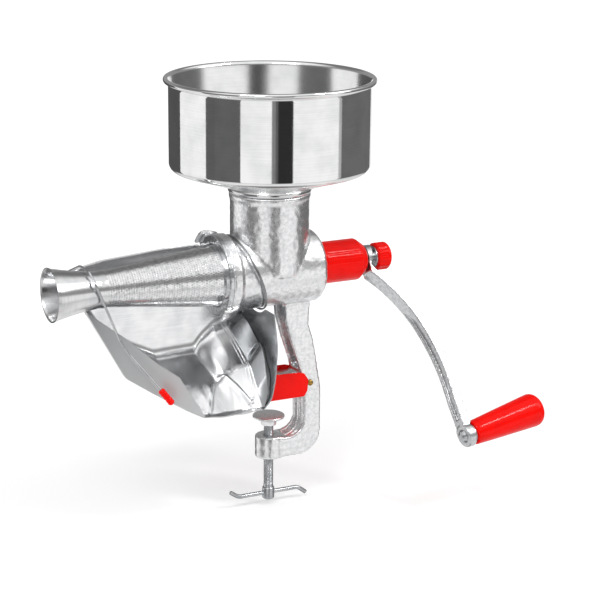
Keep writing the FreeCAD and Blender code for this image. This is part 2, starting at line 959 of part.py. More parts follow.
def make_shaft():
    body = new_body("auger_shaft")
    thread = of.knob_thread
    tip = knob_start + 11
    collar = of.barrel_back + 6
    revolve(body, [
        (shaft_start, 0),
        (shaft_start, of.shaft_radius - 1),
        (shaft_start + 1, of.shaft_radius),
        (collar, of.shaft_radius),
        (collar, of.shaft_radius + 3.5),
        (collar + 3, of.shaft_radius + 3.5),
        (collar + 3, of.shaft_radius),
        (hub_start, of.shaft_radius),
        (hub_start, of.shaft_radius - 1.5),
        (hub_end, of.shaft_radius - 1.5),
        (hub_end, thread),
        (tip - 1, thread),
        (tip, thread - 1),
        (tip, 0),
    ])
    flats = new_sketch(body, "XZ_Plane")
    for side in (1, -1):
        draw_outline(flats, [
            (hub_start, side * flat_half),
            (hub_end, side * flat_half),
            (hub_end, side * (of.shaft_radius + 1)),
            (hub_start, side * (of.shaft_radius + 1)),
        ])
    extrude(body, flats, 4 * of.shaft_radius, "PartDesign::Pocket")
    cross = new_sketch(body, "XY_Plane")
    draw_circle(cross, pin_x, 0, of.drive_pin_radius + of.running_gap)
    extrude(body, cross, 4 * of.auger_core_back, "PartDesign::Pocket")
    keep(on_crank(body))

    pin = new_body("shaft_pin")
    peg = new_sketch(pin, "XY_Plane")
    draw_circle(peg, pin_x, 0, of.drive_pin_radius)
    extrude(pin, peg, 2 * of.auger_core_back - 3)
    keep(on_crank(pin))


def make_spring():
    body = new_body("pressure_spring")
    start = of.barrel_back + 9 + of.spring_wire + 0.2
    end = bushing_end - 6 - of.spring_wire - 0.3
    profile = new_sketch(body, "XZ_Plane")
    coil_radius = of.shaft_radius + 2.6
    draw_outline(profile, [
        (start - of.spring_wire, coil_radius - of.spring_wire),
        (start + of.spring_wire, coil_radius - of.spring_wire),
        (start + of.spring_wire, coil_radius + of.spring_wire),
        (start - of.spring_wire, coil_radius + of.spring_wire),
    ])
    coil = body.newObject("PartDesign::AdditiveHelix", "spring_turns")
    coil.Profile = profile
    coil.ReferenceAxis = (profile, ["H_Axis"])
    coil.Mode = 0
    bind(coil, "Pitch", (end - start) / of.spring_turns)
    bind(coil, "Height", end - start)
    return keep(on_crank(body))


# Bushing that screws into the barrel's end wall


def make_bushing():
    seal_start = of.barrel_back - of.barrel_end_wall + 0.5
    keep(ring(
        "shaft_seal", of.shaft_radius + 0.1, bushing_seat - of.running_gap, seal_start, of.seal_length
    ))
    body = new_body("rear_bushing")
    bore = of.shaft_radius + of.running_gap
    cavity = of.shaft_radius + 5
    face = of.barrel_back + of.face_gap
    revolve(body, [
        (seal_start + of.seal_length + 0.1, bore),
        (seal_start + of.seal_length + 0.1, bushing_seat - of.running_gap),
        (face, bushing_seat - of.running_gap),
        (face, of.bushing_radius - 1),
        (face + 1, of.bushing_radius),
        (bushing_end - 9, of.bushing_radius),
        (bushing_end - 2, of.bushing_radius - 5),
        (bushing_end, of.bushing_radius - 7),
        (bushing_end, bore),
        (bushing_end - 6, bore),
        (bushing_end - 6, cavity),
        (of.barrel_back + 5, cavity),
        (of.barrel_back + 5, bore),
    ])
    flute = new_sketch(body, "YZ_Plane", (0, 0, of.barrel_back + 7))
    draw_circle(flute, 0, of.bushing_radius + 1.0, 2.2)
    groove = extrude(
        body, flute, of.bushing_length - 18, "PartDesign::Pocket", symmetric=False, reverse=True
    )
    pattern = body.newObject("PartDesign::PolarPattern", "bushing_fluting")
    pattern.Originals = [groove]
    pattern.Axis = (flute, ["N_Axis"])
    pattern.Angle = 360
    bind(pattern, "Occurrences", of.bushing_flutes)
    body.Tip = pattern
    document.recompute()
    keep(lift(body))
    keep(ring(
        "thrust_washer", of.shaft_radius + 0.1, of.hub_radius, bushing_end + 0.1, of.washer_thickness
    ))


# Crank: a cast bar that swings out in an S, with a channel along its inner face


def crank_band(name, inner, outer):
    """The bar's side view between two depths from its inner face, pushed across the bar."""
    out = of.crank_offset / 58
    along_arm = of.crank_radius / 201
    route = [(0, 20), (17, 39), (38, 75), (50, 115), (54.5, 163), (58, 201), (58.5, 216)]
    lean = [(0.25, -0.97), (0.77, -0.64), (0.89, -0.45), (0.97, -0.22), (0.99, -0.09), (1, -0.06), (1, 0)]

    def spot(index, depth):
        u = hub_start + route[index][0] * out + lean[index][0] * depth
        v = -(route[index][1] * along_arm) - lean[index][1] * depth
        return u, v

    body = new_body(name)
    sketch = new_sketch(body, "XZ_Plane")
    corners = [(hub_start + inner, of.hub_radius + 2)]
    for depth, order in ((inner, (0, 2, 4, 6)), (outer, (6, 4, 2, 0))):
        for step, index in enumerate(order):
            u, v = spot(index, depth)
            if step in (0, 3) and index in (0, 6):
                corners.append((u, v))
            else:
                middle = (index + order[step - 1]) // 2
                corners.append((u, v, *spot(middle, depth)))
    corners.append((hub_start + outer, of.hub_radius + 2))
    draw_outline(sketch, corners)
    extrude(body, sketch, 3 * of.hub_radius)
    return body


def crank_plan(name, inset):
    """The bar seen along the barrel: hub, tapering bar and eye."""
    far = hub_start + of.crank_offset + 3 * of.crank_thickness
    shapes = []
    stretch = new_body(f"{name}_bar")
    sketch = new_sketch(stretch, "YZ_Plane", (0, 0, hub_start - 5))
    wide = of.crank_width / 2 - inset
    top = as_size(inset) * 5
    draw_outline(sketch, [
        (-wide - 2, -top),
        (-wide, -top - 30),
        (-wide + 1.5, -of.crank_radius + top),
        (wide - 1.5, -of.crank_radius + top),
        (wide, -top - 30),
        (wide + 2, -top),
    ])
    extrude(stretch, sketch, far - hub_start + 5, symmetric=False)
    shapes.append(stretch)
    if inset == 0:
        for label, radius, height in (("hub", of.hub_radius, 0), ("eye", of.eye_radius, of.crank_radius)):
            disc = document.addObject("Part::Cylinder", f"{name}_{label}")
            bind(disc, "Radius", radius)
            bind(disc, "Height", far - hub_start + 5)
            place(disc, hub_start - 5, 0, -height)
            turn(disc, (0, 1, 0), 90)
            shapes.append(disc)
    return fuse(name, *shapes) if len(shapes) > 1 else shapes[0]


def tilted(distance, radius):
    """A point beside the grip's axis: its distance from the bar's middle, and its radius."""
    c = cosine(of.grip_tilt)
    s = sine(of.grip_tilt)
    return eye_x + c * distance - s * radius, eye_z + s * distance + c * radius


def turned_on_grip(name, corners):
    """Turns an outline about the grip's axis. Corners are (distance, radius), arcs as before."""
    body = new_body(name)
    sketch = new_sketch(body, "XZ_Plane")
    outline = []
    for corner in corners:
        spot = tilted(as_size(corner[0]), as_size(corner[1]))
        if len(corner) == 4:
            spot += tilted(as_size(corner[2]), as_size(corner[3]))
        outline.append(spot)
    draw_outline(sketch, outline)
    ends = [FreeCAD.Vector(*[value.number for value in tilted(as_size(d), as_size(0))], 0) for d in (-9, 9)]
    line = sketch.addGeometry(Part.LineSegment(*ends), True)
    for end, distance in ((1, -9), (2, 9)):
        fix_point(sketch, line, end, *tilted(as_size(distance), as_size(0)))
    feature = body.newObject("PartDesign::Revolution", f"{name}_turned")
    feature.Profile = sketch
    feature.ReferenceAxis = (sketch, ["Axis0"])
    feature.Angle = 360
    document.recompute()
    return body


def make_crank():
    rough = common(
        "crank_rough", crank_band("crank_side", as_size(0), of.crank_thickness), crank_plan("crank_plan", 0)
    )
    half = of.crank_thickness / 2
    sides = [
        turned_on_grip(
            f"eye_face_{label}",
            [(near_side, 0), (near_side, clear), (far_side, clear), (far_side, 0)],
        )
        for label, near_side, far_side, clear in (
            ("inner", -half - 9, -half, of.eye_radius + 1),
            ("outer", half, half + 9, of.eye_radius + 1),
        )
    ]
    trimmed = cut("crank_trimmed", rough, fuse("crank_eye_sides", *sides))
    boss = turned_on_grip("crank_eye_boss", [
        (-half, 0), (-half, of.eye_radius - 1), (-half + 1, of.eye_radius),
        (half - 1, of.eye_radius), (half, of.eye_radius - 1), (half, 0),
    ])
    bar = fuse("crank_bar", trimmed, boss)
    channel = common(
        "crank_channel",
        crank_band("channel_side", as_size(-2), as_size(3)),
        crank_plan("channel_plan", 3.5),
    )
    hole = document.addObject("Part::Cylinder", "hub_round")
    bind(hole, "Radius", of.shaft_radius - 1.5 + of.running_gap)
    bind(hole, "Height", of.hub_thickness + 4)
    place(hole, hub_start - 2, 0, 0)
    turn(hole, (0, 1, 0), 90)
    slab = document.addObject("Part::Box", "hub_flats")
    bind(slab, "Length", of.hub_thickness + 4)
    bind(slab, "Width", 4 * of.shaft_radius)
    bind(slab, "Height", 2 * (flat_half + of.running_gap))
    place(slab, hub_start - 2, -2 * of.shaft_radius, -(flat_half + of.running_gap))
    drive = common("hub_drive", hole, slab)
    eye = turned_on_grip("eye_bore", [
        (-3 * of.crank_thickness, 0),
        (-3 * of.crank_thickness, of.grip_pin_radius + of.running_gap),
        (3 * of.crank_thickness, of.grip_pin_radius + of.running_gap),
        (3 * of.crank_thickness, 0),
    ])
    openings = fuse("crank_openings", channel, drive, eye)
    keep(on_crank(cut("crank_arm", bar, openings)))


def make_knob():
    keep(ring(
        "knob_washer", of.knob_thread + 0.2, of.hub_radius - 1.5, hub_end + 0.1, of.washer_thickness - 0.3
    ))
    body = new_body("crank_knob")
    bore = of.knob_thread + of.running_gap
    end = knob_start + of.knob_length
    revolve(body, [
        (knob_start, bore),
        (knob_start, of.knob_radius - 2),
        (knob_start + 1.5, of.knob_radius - 0.5),
        (knob_start + of.knob_length * 0.55, of.knob_radius),
        (end - of.knob_length * 0.15, of.knob_radius * 0.78),
        (end, of.knob_radius * 0.4),
        (end, 0),
        (knob_start + 12, 0),
        (knob_start + 12, bore),
    ])
    keep(on_crank(body))


def make_grip():
    start = of.crank_thickness / 2 + of.washer_thickness + 0.4
    end = start + of.grip_length
    small = of.grip_small
    large = of.grip_large
    bore = of.grip_pin_radius + of.running_gap
    pin_end = end - 12
    keep(turned_on_grip("handle_grip", [
        (start, bore),
        (start, small - 1.5),
        (start + 1.5, small),
        (start + of.grip_length * 0.45, small + (large - small) * 0.42),
        (end - 12, large),
        (end - 6, large - 1.6),
        (end - 2, large - 5.5),
        (end, large - 10),
        (end, 0),
        (pin_end + 1.5, 0),
        (pin_end + 1.5, bore + 2),
        (pin_end - 2, bore + 2),
        (pin_end - 2, bore),
    ]))
    inside = of.crank_thickness / 2
    keep(turned_on_grip("grip_rivet", [
        (-inside - 3.6, 0),
        (-inside - 3.6, 2.5),
        (-inside - 2.5, 5.2),
        (-inside - 0.2, 7.2),
        (-inside - 0.2, of.grip_pin_radius),
        (pin_end - 1.8, of.grip_pin_radius),
        (pin_end - 1.8, of.grip_pin_radius + 1.5),
        (pin_end + 0.6, of.grip_pin_radius + 1.5),
        (pin_end + 0.6, 0),
    ]))
    keep(turned_on_grip("grip_washer", [
        (inside + 0.2, of.grip_pin_radius + 0.1),
        (inside + 0.2, of.grip_small - 2.5),
        (inside + 0.2 + of.washer_thickness - 0.1, of.grip_small - 2.5),
        (inside + 0.2 + of.washer_thickness - 0.1, of.grip_pin_radius + 0.1),
    ]))
    for piece in nodes[-3:]:
        on_crank(piece)


# Juice tray: folded sheet that hangs from a hoop round the barrel


def nose_station(share):
    """A station between the spout's corner and the nose, as a share of that run."""
    return of.spout_corner + (tray_nose - of.spout_corner) * share


def tray_block(body, kind, shrink):
    """Lofts cross sections from the nose to the back; a shrunk loft is the room inside the sheet."""
    far = of.tray_far - shrink
    lip = -of.tray_lip
    top = as_size(60) if shrink.number else as_size(0)
    stations = [
        (-tray_nose, 8, -10, -20, 1, -25, 2, -21.5),
        (-nose_station(0.673), 15, -63, -76, 14, -90.6, 17, -48),
        (-nose_station(0.399), 17, -80, -94, 24, -109.3, 27, -74),
        (-nose_station(0.154), 19, -92, -107, 39, -124, 40, -93),
        (-of.spout_corner, 20, -91, -108, 46, lip, 46, -98),
        (hump_start, 20, -90, -108, 46, lip, 46, -98),
        (hump_start + 20, 20, -68, -95, 46, lip, 46, -98),
        (as_size(-14), 20, -60, -90, 46, lip, 46, -98),
    ]
    sections = []
    for x, far_top, fold, middle, foot_y, foot_z, rim_y, rim_z in stations:
        sketch = new_sketch(body, "YZ_Plane", (0, 0, x))
        foot = -(as_size(foot_y) * of.tray_near / 46)
        rim = -(as_size(rim_y) * of.tray_near / 46)
        draw_outline(sketch, [
            (far, as_size(far_top) + top),
            (far - 1.5, as_size(fold) + shrink),
            (foot * 0.5 + far * 0.2, as_size(middle) + shrink),
            (foot + shrink, as_size(foot_z) + shrink),
            (rim + shrink, as_size(rim_z) + top),
        ])
        sections.append(sketch)
    loft = body.newObject(kind, f"{body.Name}_loft")
    loft.Profile = sections[0]
    loft.Sections = sections[1:]
    loft.Ruled = True
    document.recompute()
    return loft


def back_curve(depth):
    """The tray's back in side view, bulging towards the frame, at a depth from its inner face."""
    return [
        (tray_back_top + depth, -34),
        (tray_back_low + depth, -of.tray_lip, -13 + depth, -72),
    ]


def make_tray():
    outer = new_body("tray_outer")
    tray_block(outer, "PartDesign::AdditiveLoft", as_size(0))
    inner = new_body("tray_inner")
    tray_block(inner, "PartDesign::AdditiveLoft", of.tray_sheet)
    window = new_body("tray_window")
    sketch = new_sketch(window, "XZ_Plane", (0, 0, of.tray_near - 2.5))
    floor = -of.tray_lip + of.tray_sheet
    draw_outline(sketch, [
        (-114, -88),
        (-91, floor),
        (10, floor),
        (10, -10),
        (-114, -10),
    ])
    extrude(window, sketch, 30, symmetric=False)
    behind = new_body("tray_behind")
    sketch = new_sketch(behind, "XZ_Plane")
    top, low = back_curve(0)
    draw_outline(sketch, [
        (60, 60),
        (-58, 60),
        (-58, 22),
        (top[0] - 8, -28),
        top,
        low,
        (low[0], -of.tray_lip - 20),
        (60, -of.tray_lip - 20),
    ])
    extrude(behind, sketch, 6 * of.tray_far)
    removed = fuse("tray_removed", inner, window, behind)
    lip = new_body("tray_lip_sheet")
    sketch = new_sketch(lip, "XY_Plane", (0, 0, -of.tray_lip))
    reach = of.tray_near + of.spout_length
    draw_outline(sketch, [
        (-of.spout_corner + 1, -of.tray_near + 3),
        (-of.spout_corner + 6, -reach),
        (hump_start + 20, -reach),
        (hump_start + 32, -of.tray_near + 3),
    ])
    extrude(lip, sketch, of.tray_sheet, symmetric=False)
    keep(lift(fuse("drip_tray", cut("tray_shell", outer, removed), lip)))

    back = new_body("back_sheet")
    sketch = new_sketch(back, "XZ_Plane", (0, 0, (of.tray_near - of.tray_far) / 2))
    top, low = back_curve(0.1)
    far_top, far_low = back_curve(of.tray_sheet + 0.1)
    draw_outline(sketch, [
        top,
        low,
        (far_low[0], far_low[1]),
        (far_top[0], far_top[1], far_low[2], far_low[3]),
    ])
    extrude(back, sketch, of.tray_near + of.tray_far - 1)
    notch = document.addObject("Part::Cylinder", "hoop_notch")
    bind(notch, "Radius", hoop_radius)
    bind(notch, "Height", 120)
    place(notch, -60, 0, 0)
    turn(notch, (0, 1, 0), 90)
    keep(lift(cut("tray_back", back, notch)))

    hoop = ring(
        "tray_hanger_hoop",
        hoop_radius - of.hoop_sheet / 2,
        hoop_radius + of.hoop_sheet / 2,
        -of.hoop_width / 2,
        of.hoop_width,
        axis=(0, 0, 1),
    )
    place(hoop, -28, 0, of.axis_height)
    turn(hoop, (0, 1, 0), 90 - of.hoop_tilt)
    keep(hoop)


# Latch wire: hinged on the tray's far wall, it runs over the funnel and down the near wall


def make_latch():
    knuckle = ring("tray_knuckle", of.latch_wire + of.running_gap, of.latch_wire + 1.2, -tray_nose + 1, 10)
    for solid in (knuckle.Base, knuckle.Tool):
        bind(solid, "Placement.Base.y", hinge_y)
        bind(solid, "Placement.Base.z", of.axis_height + hinge_z)
    keep(knuckle)
    tip_start = (-nose_station(0.413), as_size(-37), as_size(-97.5))
    tip_end = (-nose_station(0.312), as_size(-41.5), as_size(-112))
    wire = bent_wire("latch_wire", [
        (-tray_nose + 13, hinge_y, hinge_z),
        (-tray_nose - 3, hinge_y, hinge_z),
        (-tray_nose - 2, 9, 23),
        (-tray_nose - 0.5, -10, 22),
        (-tray_nose + 2, -22, 11.5),
        (-nose_station(0.755), -21.5, -47.5),
        (-nose_station(0.663), -25.5, -63.5),
        tip_start,
    ], 2.5, of.latch_wire)
    keep(lift(wire))
    tip = new_body("latch_tip")
    revolve(tip, [
        (0, 0),
        (0, of.latch_tip_radius - 1),
        (1, of.latch_tip_radius),
        (of.latch_tip_length - 1.5, of.latch_tip_radius),
        (of.latch_tip_length, of.latch_tip_radius - 1.5),
        (of.latch_tip_length, 0),
    ])
    run = FreeCAD.Vector(*[(last - first).number for first, last in zip(tip_start, tip_end)])
    tip.Placement.Rotation = FreeCAD.Rotation(FreeCAD.Vector(1, 0, 0), run)
    place(tip, tip_start[0], tip_start[1], of.axis_height + tip_start[2])
    keep(tip)


# Places that only these pieces share


pad_width = of.frame_depth + 2 * of.seat_gap + 2 * of.pad_wall
pad_screw_x = of.pad_length - of.jaw_reach - 4 + 4.2
pad_screw_z = seat + 13
disc_top = -of.clamp_gap
screw_tip = disc_top - 3
screw_end = -of.screw_drop
tommy_height = screw_end + of.screw_head_height / 2
spigot_outer = of.neck_bore - of.seat_gap
spigot_inner = spigot_outer - 1.5
spigot_top = of.neck_top + of.seat_gap + of.spigot_band
ear_radius = of.collar_radius + of.lug_reach - 3
shaft_start = as_size(6)
pin_x = as_size(25)
flat_half = of.shaft_radius - 2.8
bushing_seat = as_size(14)
eye_x = hub_start + of.crank_offset + of.crank_thickness / 2
eye_z = -of.crank_radius
tray_back_top = as_size(-17)
tray_back_low = as_size(-29)
hump_start = as_size(-62)
hinge_y = of.tray_far + of.latch_wire + 1.3
hinge_z = as_size(6)


make_casting()
make_table_pad()
make_pad_screw()
make_clamp_disc()
make_clamp_screw()
make_tommy_bar()
make_hopper()
make_strainer()
make_auger()
make_shaft()
make_spring()
make_bushing()
make_crank()
make_knob()
make_grip()
make_tray()
make_latch()


def check(piece):
    shape = piece.Shape
    if shape.isNull() or not shape.isValid() or shape.Volume <= 0:
        raise ValueError(f"{piece.Label} has no valid solid")
    print(piece.Label, len(shape.Solids), round(shape.Volume))


document.recompute()
for item in document.Objects:
    if "Invalid" in item.State or "Error" in item.State:
        raise ValueError(f"{item.Name} failed: {item.State}")
os.makedirs("parts", exist_ok=True)
for piece in nodes:
    check(piece)
    piece.Shape.exportStep(f"parts/{piece.Label}.step")
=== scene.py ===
import json
import math

import bmesh
import bpy
import numpy as np
from mathutils import Matrix, Vector

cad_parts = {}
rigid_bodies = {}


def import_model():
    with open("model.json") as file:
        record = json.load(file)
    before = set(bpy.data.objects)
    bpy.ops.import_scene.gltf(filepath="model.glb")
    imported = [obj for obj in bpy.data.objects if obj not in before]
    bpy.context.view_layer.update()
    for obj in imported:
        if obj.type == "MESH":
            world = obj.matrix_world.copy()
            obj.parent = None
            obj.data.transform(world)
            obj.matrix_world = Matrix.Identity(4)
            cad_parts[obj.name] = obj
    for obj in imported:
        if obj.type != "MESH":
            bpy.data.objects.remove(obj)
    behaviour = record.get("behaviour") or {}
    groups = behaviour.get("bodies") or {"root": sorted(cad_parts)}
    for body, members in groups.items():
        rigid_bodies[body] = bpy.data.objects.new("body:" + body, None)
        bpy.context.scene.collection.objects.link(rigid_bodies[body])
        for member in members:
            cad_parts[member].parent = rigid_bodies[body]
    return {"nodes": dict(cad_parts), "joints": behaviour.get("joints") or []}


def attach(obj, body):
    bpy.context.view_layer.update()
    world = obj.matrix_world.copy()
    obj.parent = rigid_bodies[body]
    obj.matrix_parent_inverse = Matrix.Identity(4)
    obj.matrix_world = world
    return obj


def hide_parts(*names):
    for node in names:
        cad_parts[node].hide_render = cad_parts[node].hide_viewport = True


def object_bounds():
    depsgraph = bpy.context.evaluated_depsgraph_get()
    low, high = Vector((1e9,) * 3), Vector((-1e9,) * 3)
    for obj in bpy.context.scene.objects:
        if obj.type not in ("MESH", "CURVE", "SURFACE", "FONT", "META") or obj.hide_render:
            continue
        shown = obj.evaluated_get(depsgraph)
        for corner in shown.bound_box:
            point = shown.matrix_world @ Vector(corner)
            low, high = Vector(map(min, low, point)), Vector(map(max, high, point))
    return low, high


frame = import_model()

cadBox = [list(corner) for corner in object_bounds()]
scene = bpy.context.scene
mm = 0.001  # the sizes below are millimetres, the scene is in metres
axisHeight = 134.5  # the barrel's axis above the table seat
barrel = ((0, 0, axisHeight), (1, 0, 0))  # a point on the barrel's axis and its direction
upright = ((0, 0, axisHeight), (0, 0, 1))
clampLine = ((0, 0, 0), (0, 0, 1))
print("frame loaded:", len(frame["nodes"]), "nodes")


# ---- camera ----
camera = {
    "place": (-0.816218, -1.676529, 0.630443),
    "right": (0.89279, -0.45037, 0.00899),
    "up": (0.11500, 0.24718, 0.96212),
    "ahead": (0.43554, 0.85794, -0.27248),
    "lens": 115.10,
    "sensor": 36.0,
}


def makeCamera():
    data = bpy.data.cameras.new("camera")
    data.lens = camera["lens"]
    data.sensor_width = camera["sensor"]
    data.clip_end = 60
    rig = bpy.data.objects.new("camera", data)
    columns = Matrix((camera["right"], camera["up"], -Vector(camera["ahead"]))).transposed()
    rig.matrix_world = Matrix.Translation(camera["place"]) @ columns.to_4x4()
    scene.collection.objects.link(rig)
    scene.camera = rig


makeCamera()
scene.view_settings.view_transform = "Standard"
print("camera set")


# ---- materials ----
def hexColour(text):
    # sRGB hex to linear: the power curve of the sRGB standard with its straight foot
    parts = np.array([int(text[i:i + 2], 16) for i in (1, 3, 5)]) / 255
    linear = np.where(parts <= 0.04045, parts / 12.92, ((parts + 0.055) / 1.055) ** 2.4)
    return (*linear.tolist(), 1.0)


def addNode(tree, kind, settings=None, links=None):
    # settings go to inputs by name or number, or else to the node itself; links name an input and its source
    node = tree.nodes.new(kind)
    for key, value in (settings or {}).items():
        if isinstance(key, int) or key in node.inputs:
            node.inputs[key].default_value = value
        else:
            setattr(node, key, value)
    for key, (source, output) in (links or {}).items():
        tree.links.new(source.outputs[output], node.inputs[key])
    return node


def newMaterial(name):
    material = bpy.data.materials.new(name)
    material.use_nodes = True
    tree = material.node_tree
    return material, tree, tree.nodes["Principled BSDF"]


def spread(tree, source, output, stops):
    # a colour ramp whose stops are (place, colour)
    ramp = addNode(tree, "ShaderNodeValToRGB", links={"Fac": (source, output)})
    elements = ramp.color_ramp.elements
    while len(elements) < len(stops):
        elements.new(0.5)
    for element, (place, colour) in zip(elements, stops):
        element.position = place
        element.color = colour if len(colour) == 4 else (*colour, 1)
    return ramp


def grey(level):
    return (level, level, level, 1.0)


castLook = {
    "bright": "#f7f7f8", "dull": "#e6e7e8", "grain": 1.5, "lump": 3.4, "smoothest": 0.26, "roughest": 0.33,
}


def makeCastAluminium(name, height, bright=castLook["bright"], dull=castLook["dull"]):
    # sand cast aluminium alloy, tumbled bright: fine sandy skin, rubbed smoother on the high spots, dull in the pits
    material, tree, shader = newMaterial(name)
    place = addNode(tree, "ShaderNodeTexCoord")
    grain = addNode(
        tree, "ShaderNodeTexNoise", {"Scale": 1000 / castLook["grain"], "Detail": 3.0}, {"Vector": (place, "Object")}
    )
    lump = addNode(
        tree, "ShaderNodeTexNoise", {"Scale": 1000 / castLook["lump"], "Detail": 4.0, "Roughness": 0.55},
        {"Vector": (place, "Object")},
    )
    colour = spread(tree, lump, "Fac", [(0.34, hexColour(dull)), (0.56, hexColour(bright))])
    rough = spread(tree, lump, "Fac", [(0.34, grey(castLook["roughest"])), (0.62, grey(castLook["smoothest"]))])
    both = addNode(tree, "ShaderNodeMath", {"operation": "MULTIPLY_ADD", 1: 0.3}, {0: (grain, "Fac"), 2: (lump, "Fac")})
    bump = addNode(tree, "ShaderNodeBump", {"Strength": height, "Distance": 0.0007}, {"Height": (both, 0)})
    tree.links.new(colour.outputs["Color"], shader.inputs["Base Color"])
    tree.links.new(rough.outputs["Color"], shader.inputs["Roughness"])
    tree.links.new(bump.outputs["Normal"], shader.inputs["Normal"])
    shader.inputs["Metallic"].default_value = 1.0
    return material


redLook = {"face": "#f80a02", "deep": "#e80802", "peel": 2.2, "bump": 0.02}


def makeRedPlastic():
    # injection moulded ABS in signal red: glossy, with a faint orange peel that breaks the highlights
    material, tree, shader = newMaterial("glossyRedAbs")
    place = addNode(tree, "ShaderNodeTexCoord")
    peel = addNode(tree, "ShaderNodeTexNoise", {"Scale": 1000 / redLook["peel"], "Detail": 2.0}, {"Vector": (place, "Object")})
    cloud = addNode(tree, "ShaderNodeTexNoise", {"Scale": 60.0, "Detail": 3.0}, {"Vector": (place, "Object")})
    colour = spread(tree, cloud, "Fac", [(0.25, hexColour(redLook["deep"])), (0.60, hexColour(redLook["face"]))])
    rough = spread(tree, cloud, "Fac", [(0.30, grey(0.13)), (0.75, grey(0.17))])
    bump = addNode(tree, "ShaderNodeBump", {"Strength": redLook["bump"], "Distance": 0.0004}, {"Height": (peel, "Fac")})
    tree.links.new(colour.outputs["Color"], shader.inputs["Base Color"])
    tree.links.new(rough.outputs["Color"], shader.inputs["Roughness"])
    tree.links.new(bump.outputs["Normal"], shader.inputs["Normal"])
    shader.inputs["IOR"].default_value = 1.54
    shader.inputs["Specular IOR Level"].default_value = 0.14
    return material


def makeSteel(name, tint, dull, lowRough, highRough, stretch, depth, cloudSize=22.0):
    # stainless or plated steel: fine lines left by rolling, spinning or turning run where the stretch is small
    material, tree, shader = newMaterial(name)
    place = addNode(tree, "ShaderNodeTexCoord")
    lay = addNode(tree, "ShaderNodeMapping", {"Scale": stretch}, {"Vector": (place, "Object")})
    lines = addNode(tree, "ShaderNodeTexNoise", {"Scale": 1.0, "Detail": 3.0, "Roughness": 0.6}, {"Vector": (lay, "Vector")})
    cloud = addNode(tree, "ShaderNodeTexNoise", {"Scale": 1000 / cloudSize, "Detail": 2.0}, {"Vector": (place, "Object")})
    mixed = addNode(tree, "ShaderNodeMath", {"operation": "MULTIPLY_ADD", 1: 0.6}, {0: (lines, "Fac"), 2: (cloud, "Fac")})
    colour = spread(tree, mixed, 0, [(0.55, hexColour(dull)), (0.95, hexColour(tint))])
    rough = spread(tree, mixed, 0, [(0.50, grey(highRough)), (1.00, grey(lowRough))])
    bump = addNode(tree, "ShaderNodeBump", {"Strength": depth, "Distance": 0.0002}, {"Height": (lines, "Fac")})
    tree.links.new(colour.outputs["Color"], shader.inputs["Base Color"])
    tree.links.new(rough.outputs["Color"], shader.inputs["Roughness"])
    tree.links.new(bump.outputs["Normal"], shader.inputs["Normal"])
    shader.inputs["Metallic"].default_value = 1.0
    return material


def makePerforatedSteel():
    # pierced stainless sheet: each hole is punched outwards into a raised rim, and its mouth is painted dark as painted
    # shade for the shaded inside seen through the open hole
    material, tree, shader = newMaterial("piercedStainlessSheet")
    place = addNode(tree, "ShaderNodeTexCoord")
    hole = addNode(tree, "ShaderNodeAttribute", {"attribute_name": "holeDepth"})
    cloud = addNode(tree, "ShaderNodeTexNoise", {"Scale": 260.0, "Detail": 4.0}, {"Vector": (place, "Object")})
    steel = spread(tree, cloud, "Fac", [(0.30, hexColour("#d2d3d4")), (0.62, hexColour("#f0f0f1"))])
    # painted shade: the hole mouths take a dark grey in place of the shaded inside seen through them
    dark = addNode(
        tree, "ShaderNodeMix", {"data_type": "RGBA", 7: hexColour("#5c5c5d")}, {0: (hole, "Fac"), 6: (steel, "Color")}
    )
    rough = spread(tree, cloud, "Fac", [(0.30, grey(0.20)), (0.70, grey(0.11))])
    tree.links.new(dark.outputs[2], shader.inputs["Base Color"])
    tree.links.new(rough.outputs["Color"], shader.inputs["Roughness"])
    shader.inputs["Metallic"].default_value = 1.0
    return material


def makeBowlSteel(name, wall):
    # spun stainless bowl: mirror polished outside, brushed satin inside, where rings run round its axis
    material = makeSteel(name, "#f2f2f2", "#e0e1e1", 0.035, 0.075, (14, 14, 2200), 0.04)
    tree = material.node_tree
    shader = tree.nodes["Principled BSDF"]
    place = addNode(tree, "ShaderNodeTexCoord")
    flat = addNode(tree, "ShaderNodeVectorMath", {"operation": "MULTIPLY", 1: (1, 1, 0)}, {0: (place, "Object")})
    reach = addNode(tree, "ShaderNodeVectorMath", {"operation": "LENGTH"}, {0: (flat, "Vector")})
    inside = addNode(tree, "ShaderNodeMath", {"operation": "LESS_THAN", 1: wall}, {0: (reach, "Value")})
    polished = shader.inputs["Roughness"].links[0].from_socket
    satin = addNode(tree, "ShaderNodeMix", {"data_type": "FLOAT", "B": 0.2}, {"Factor": (inside, 0)})
    tree.links.new(polished, satin.inputs["A"])
    tree.links.new(satin.outputs[0], shader.inputs["Roughness"])
    return material


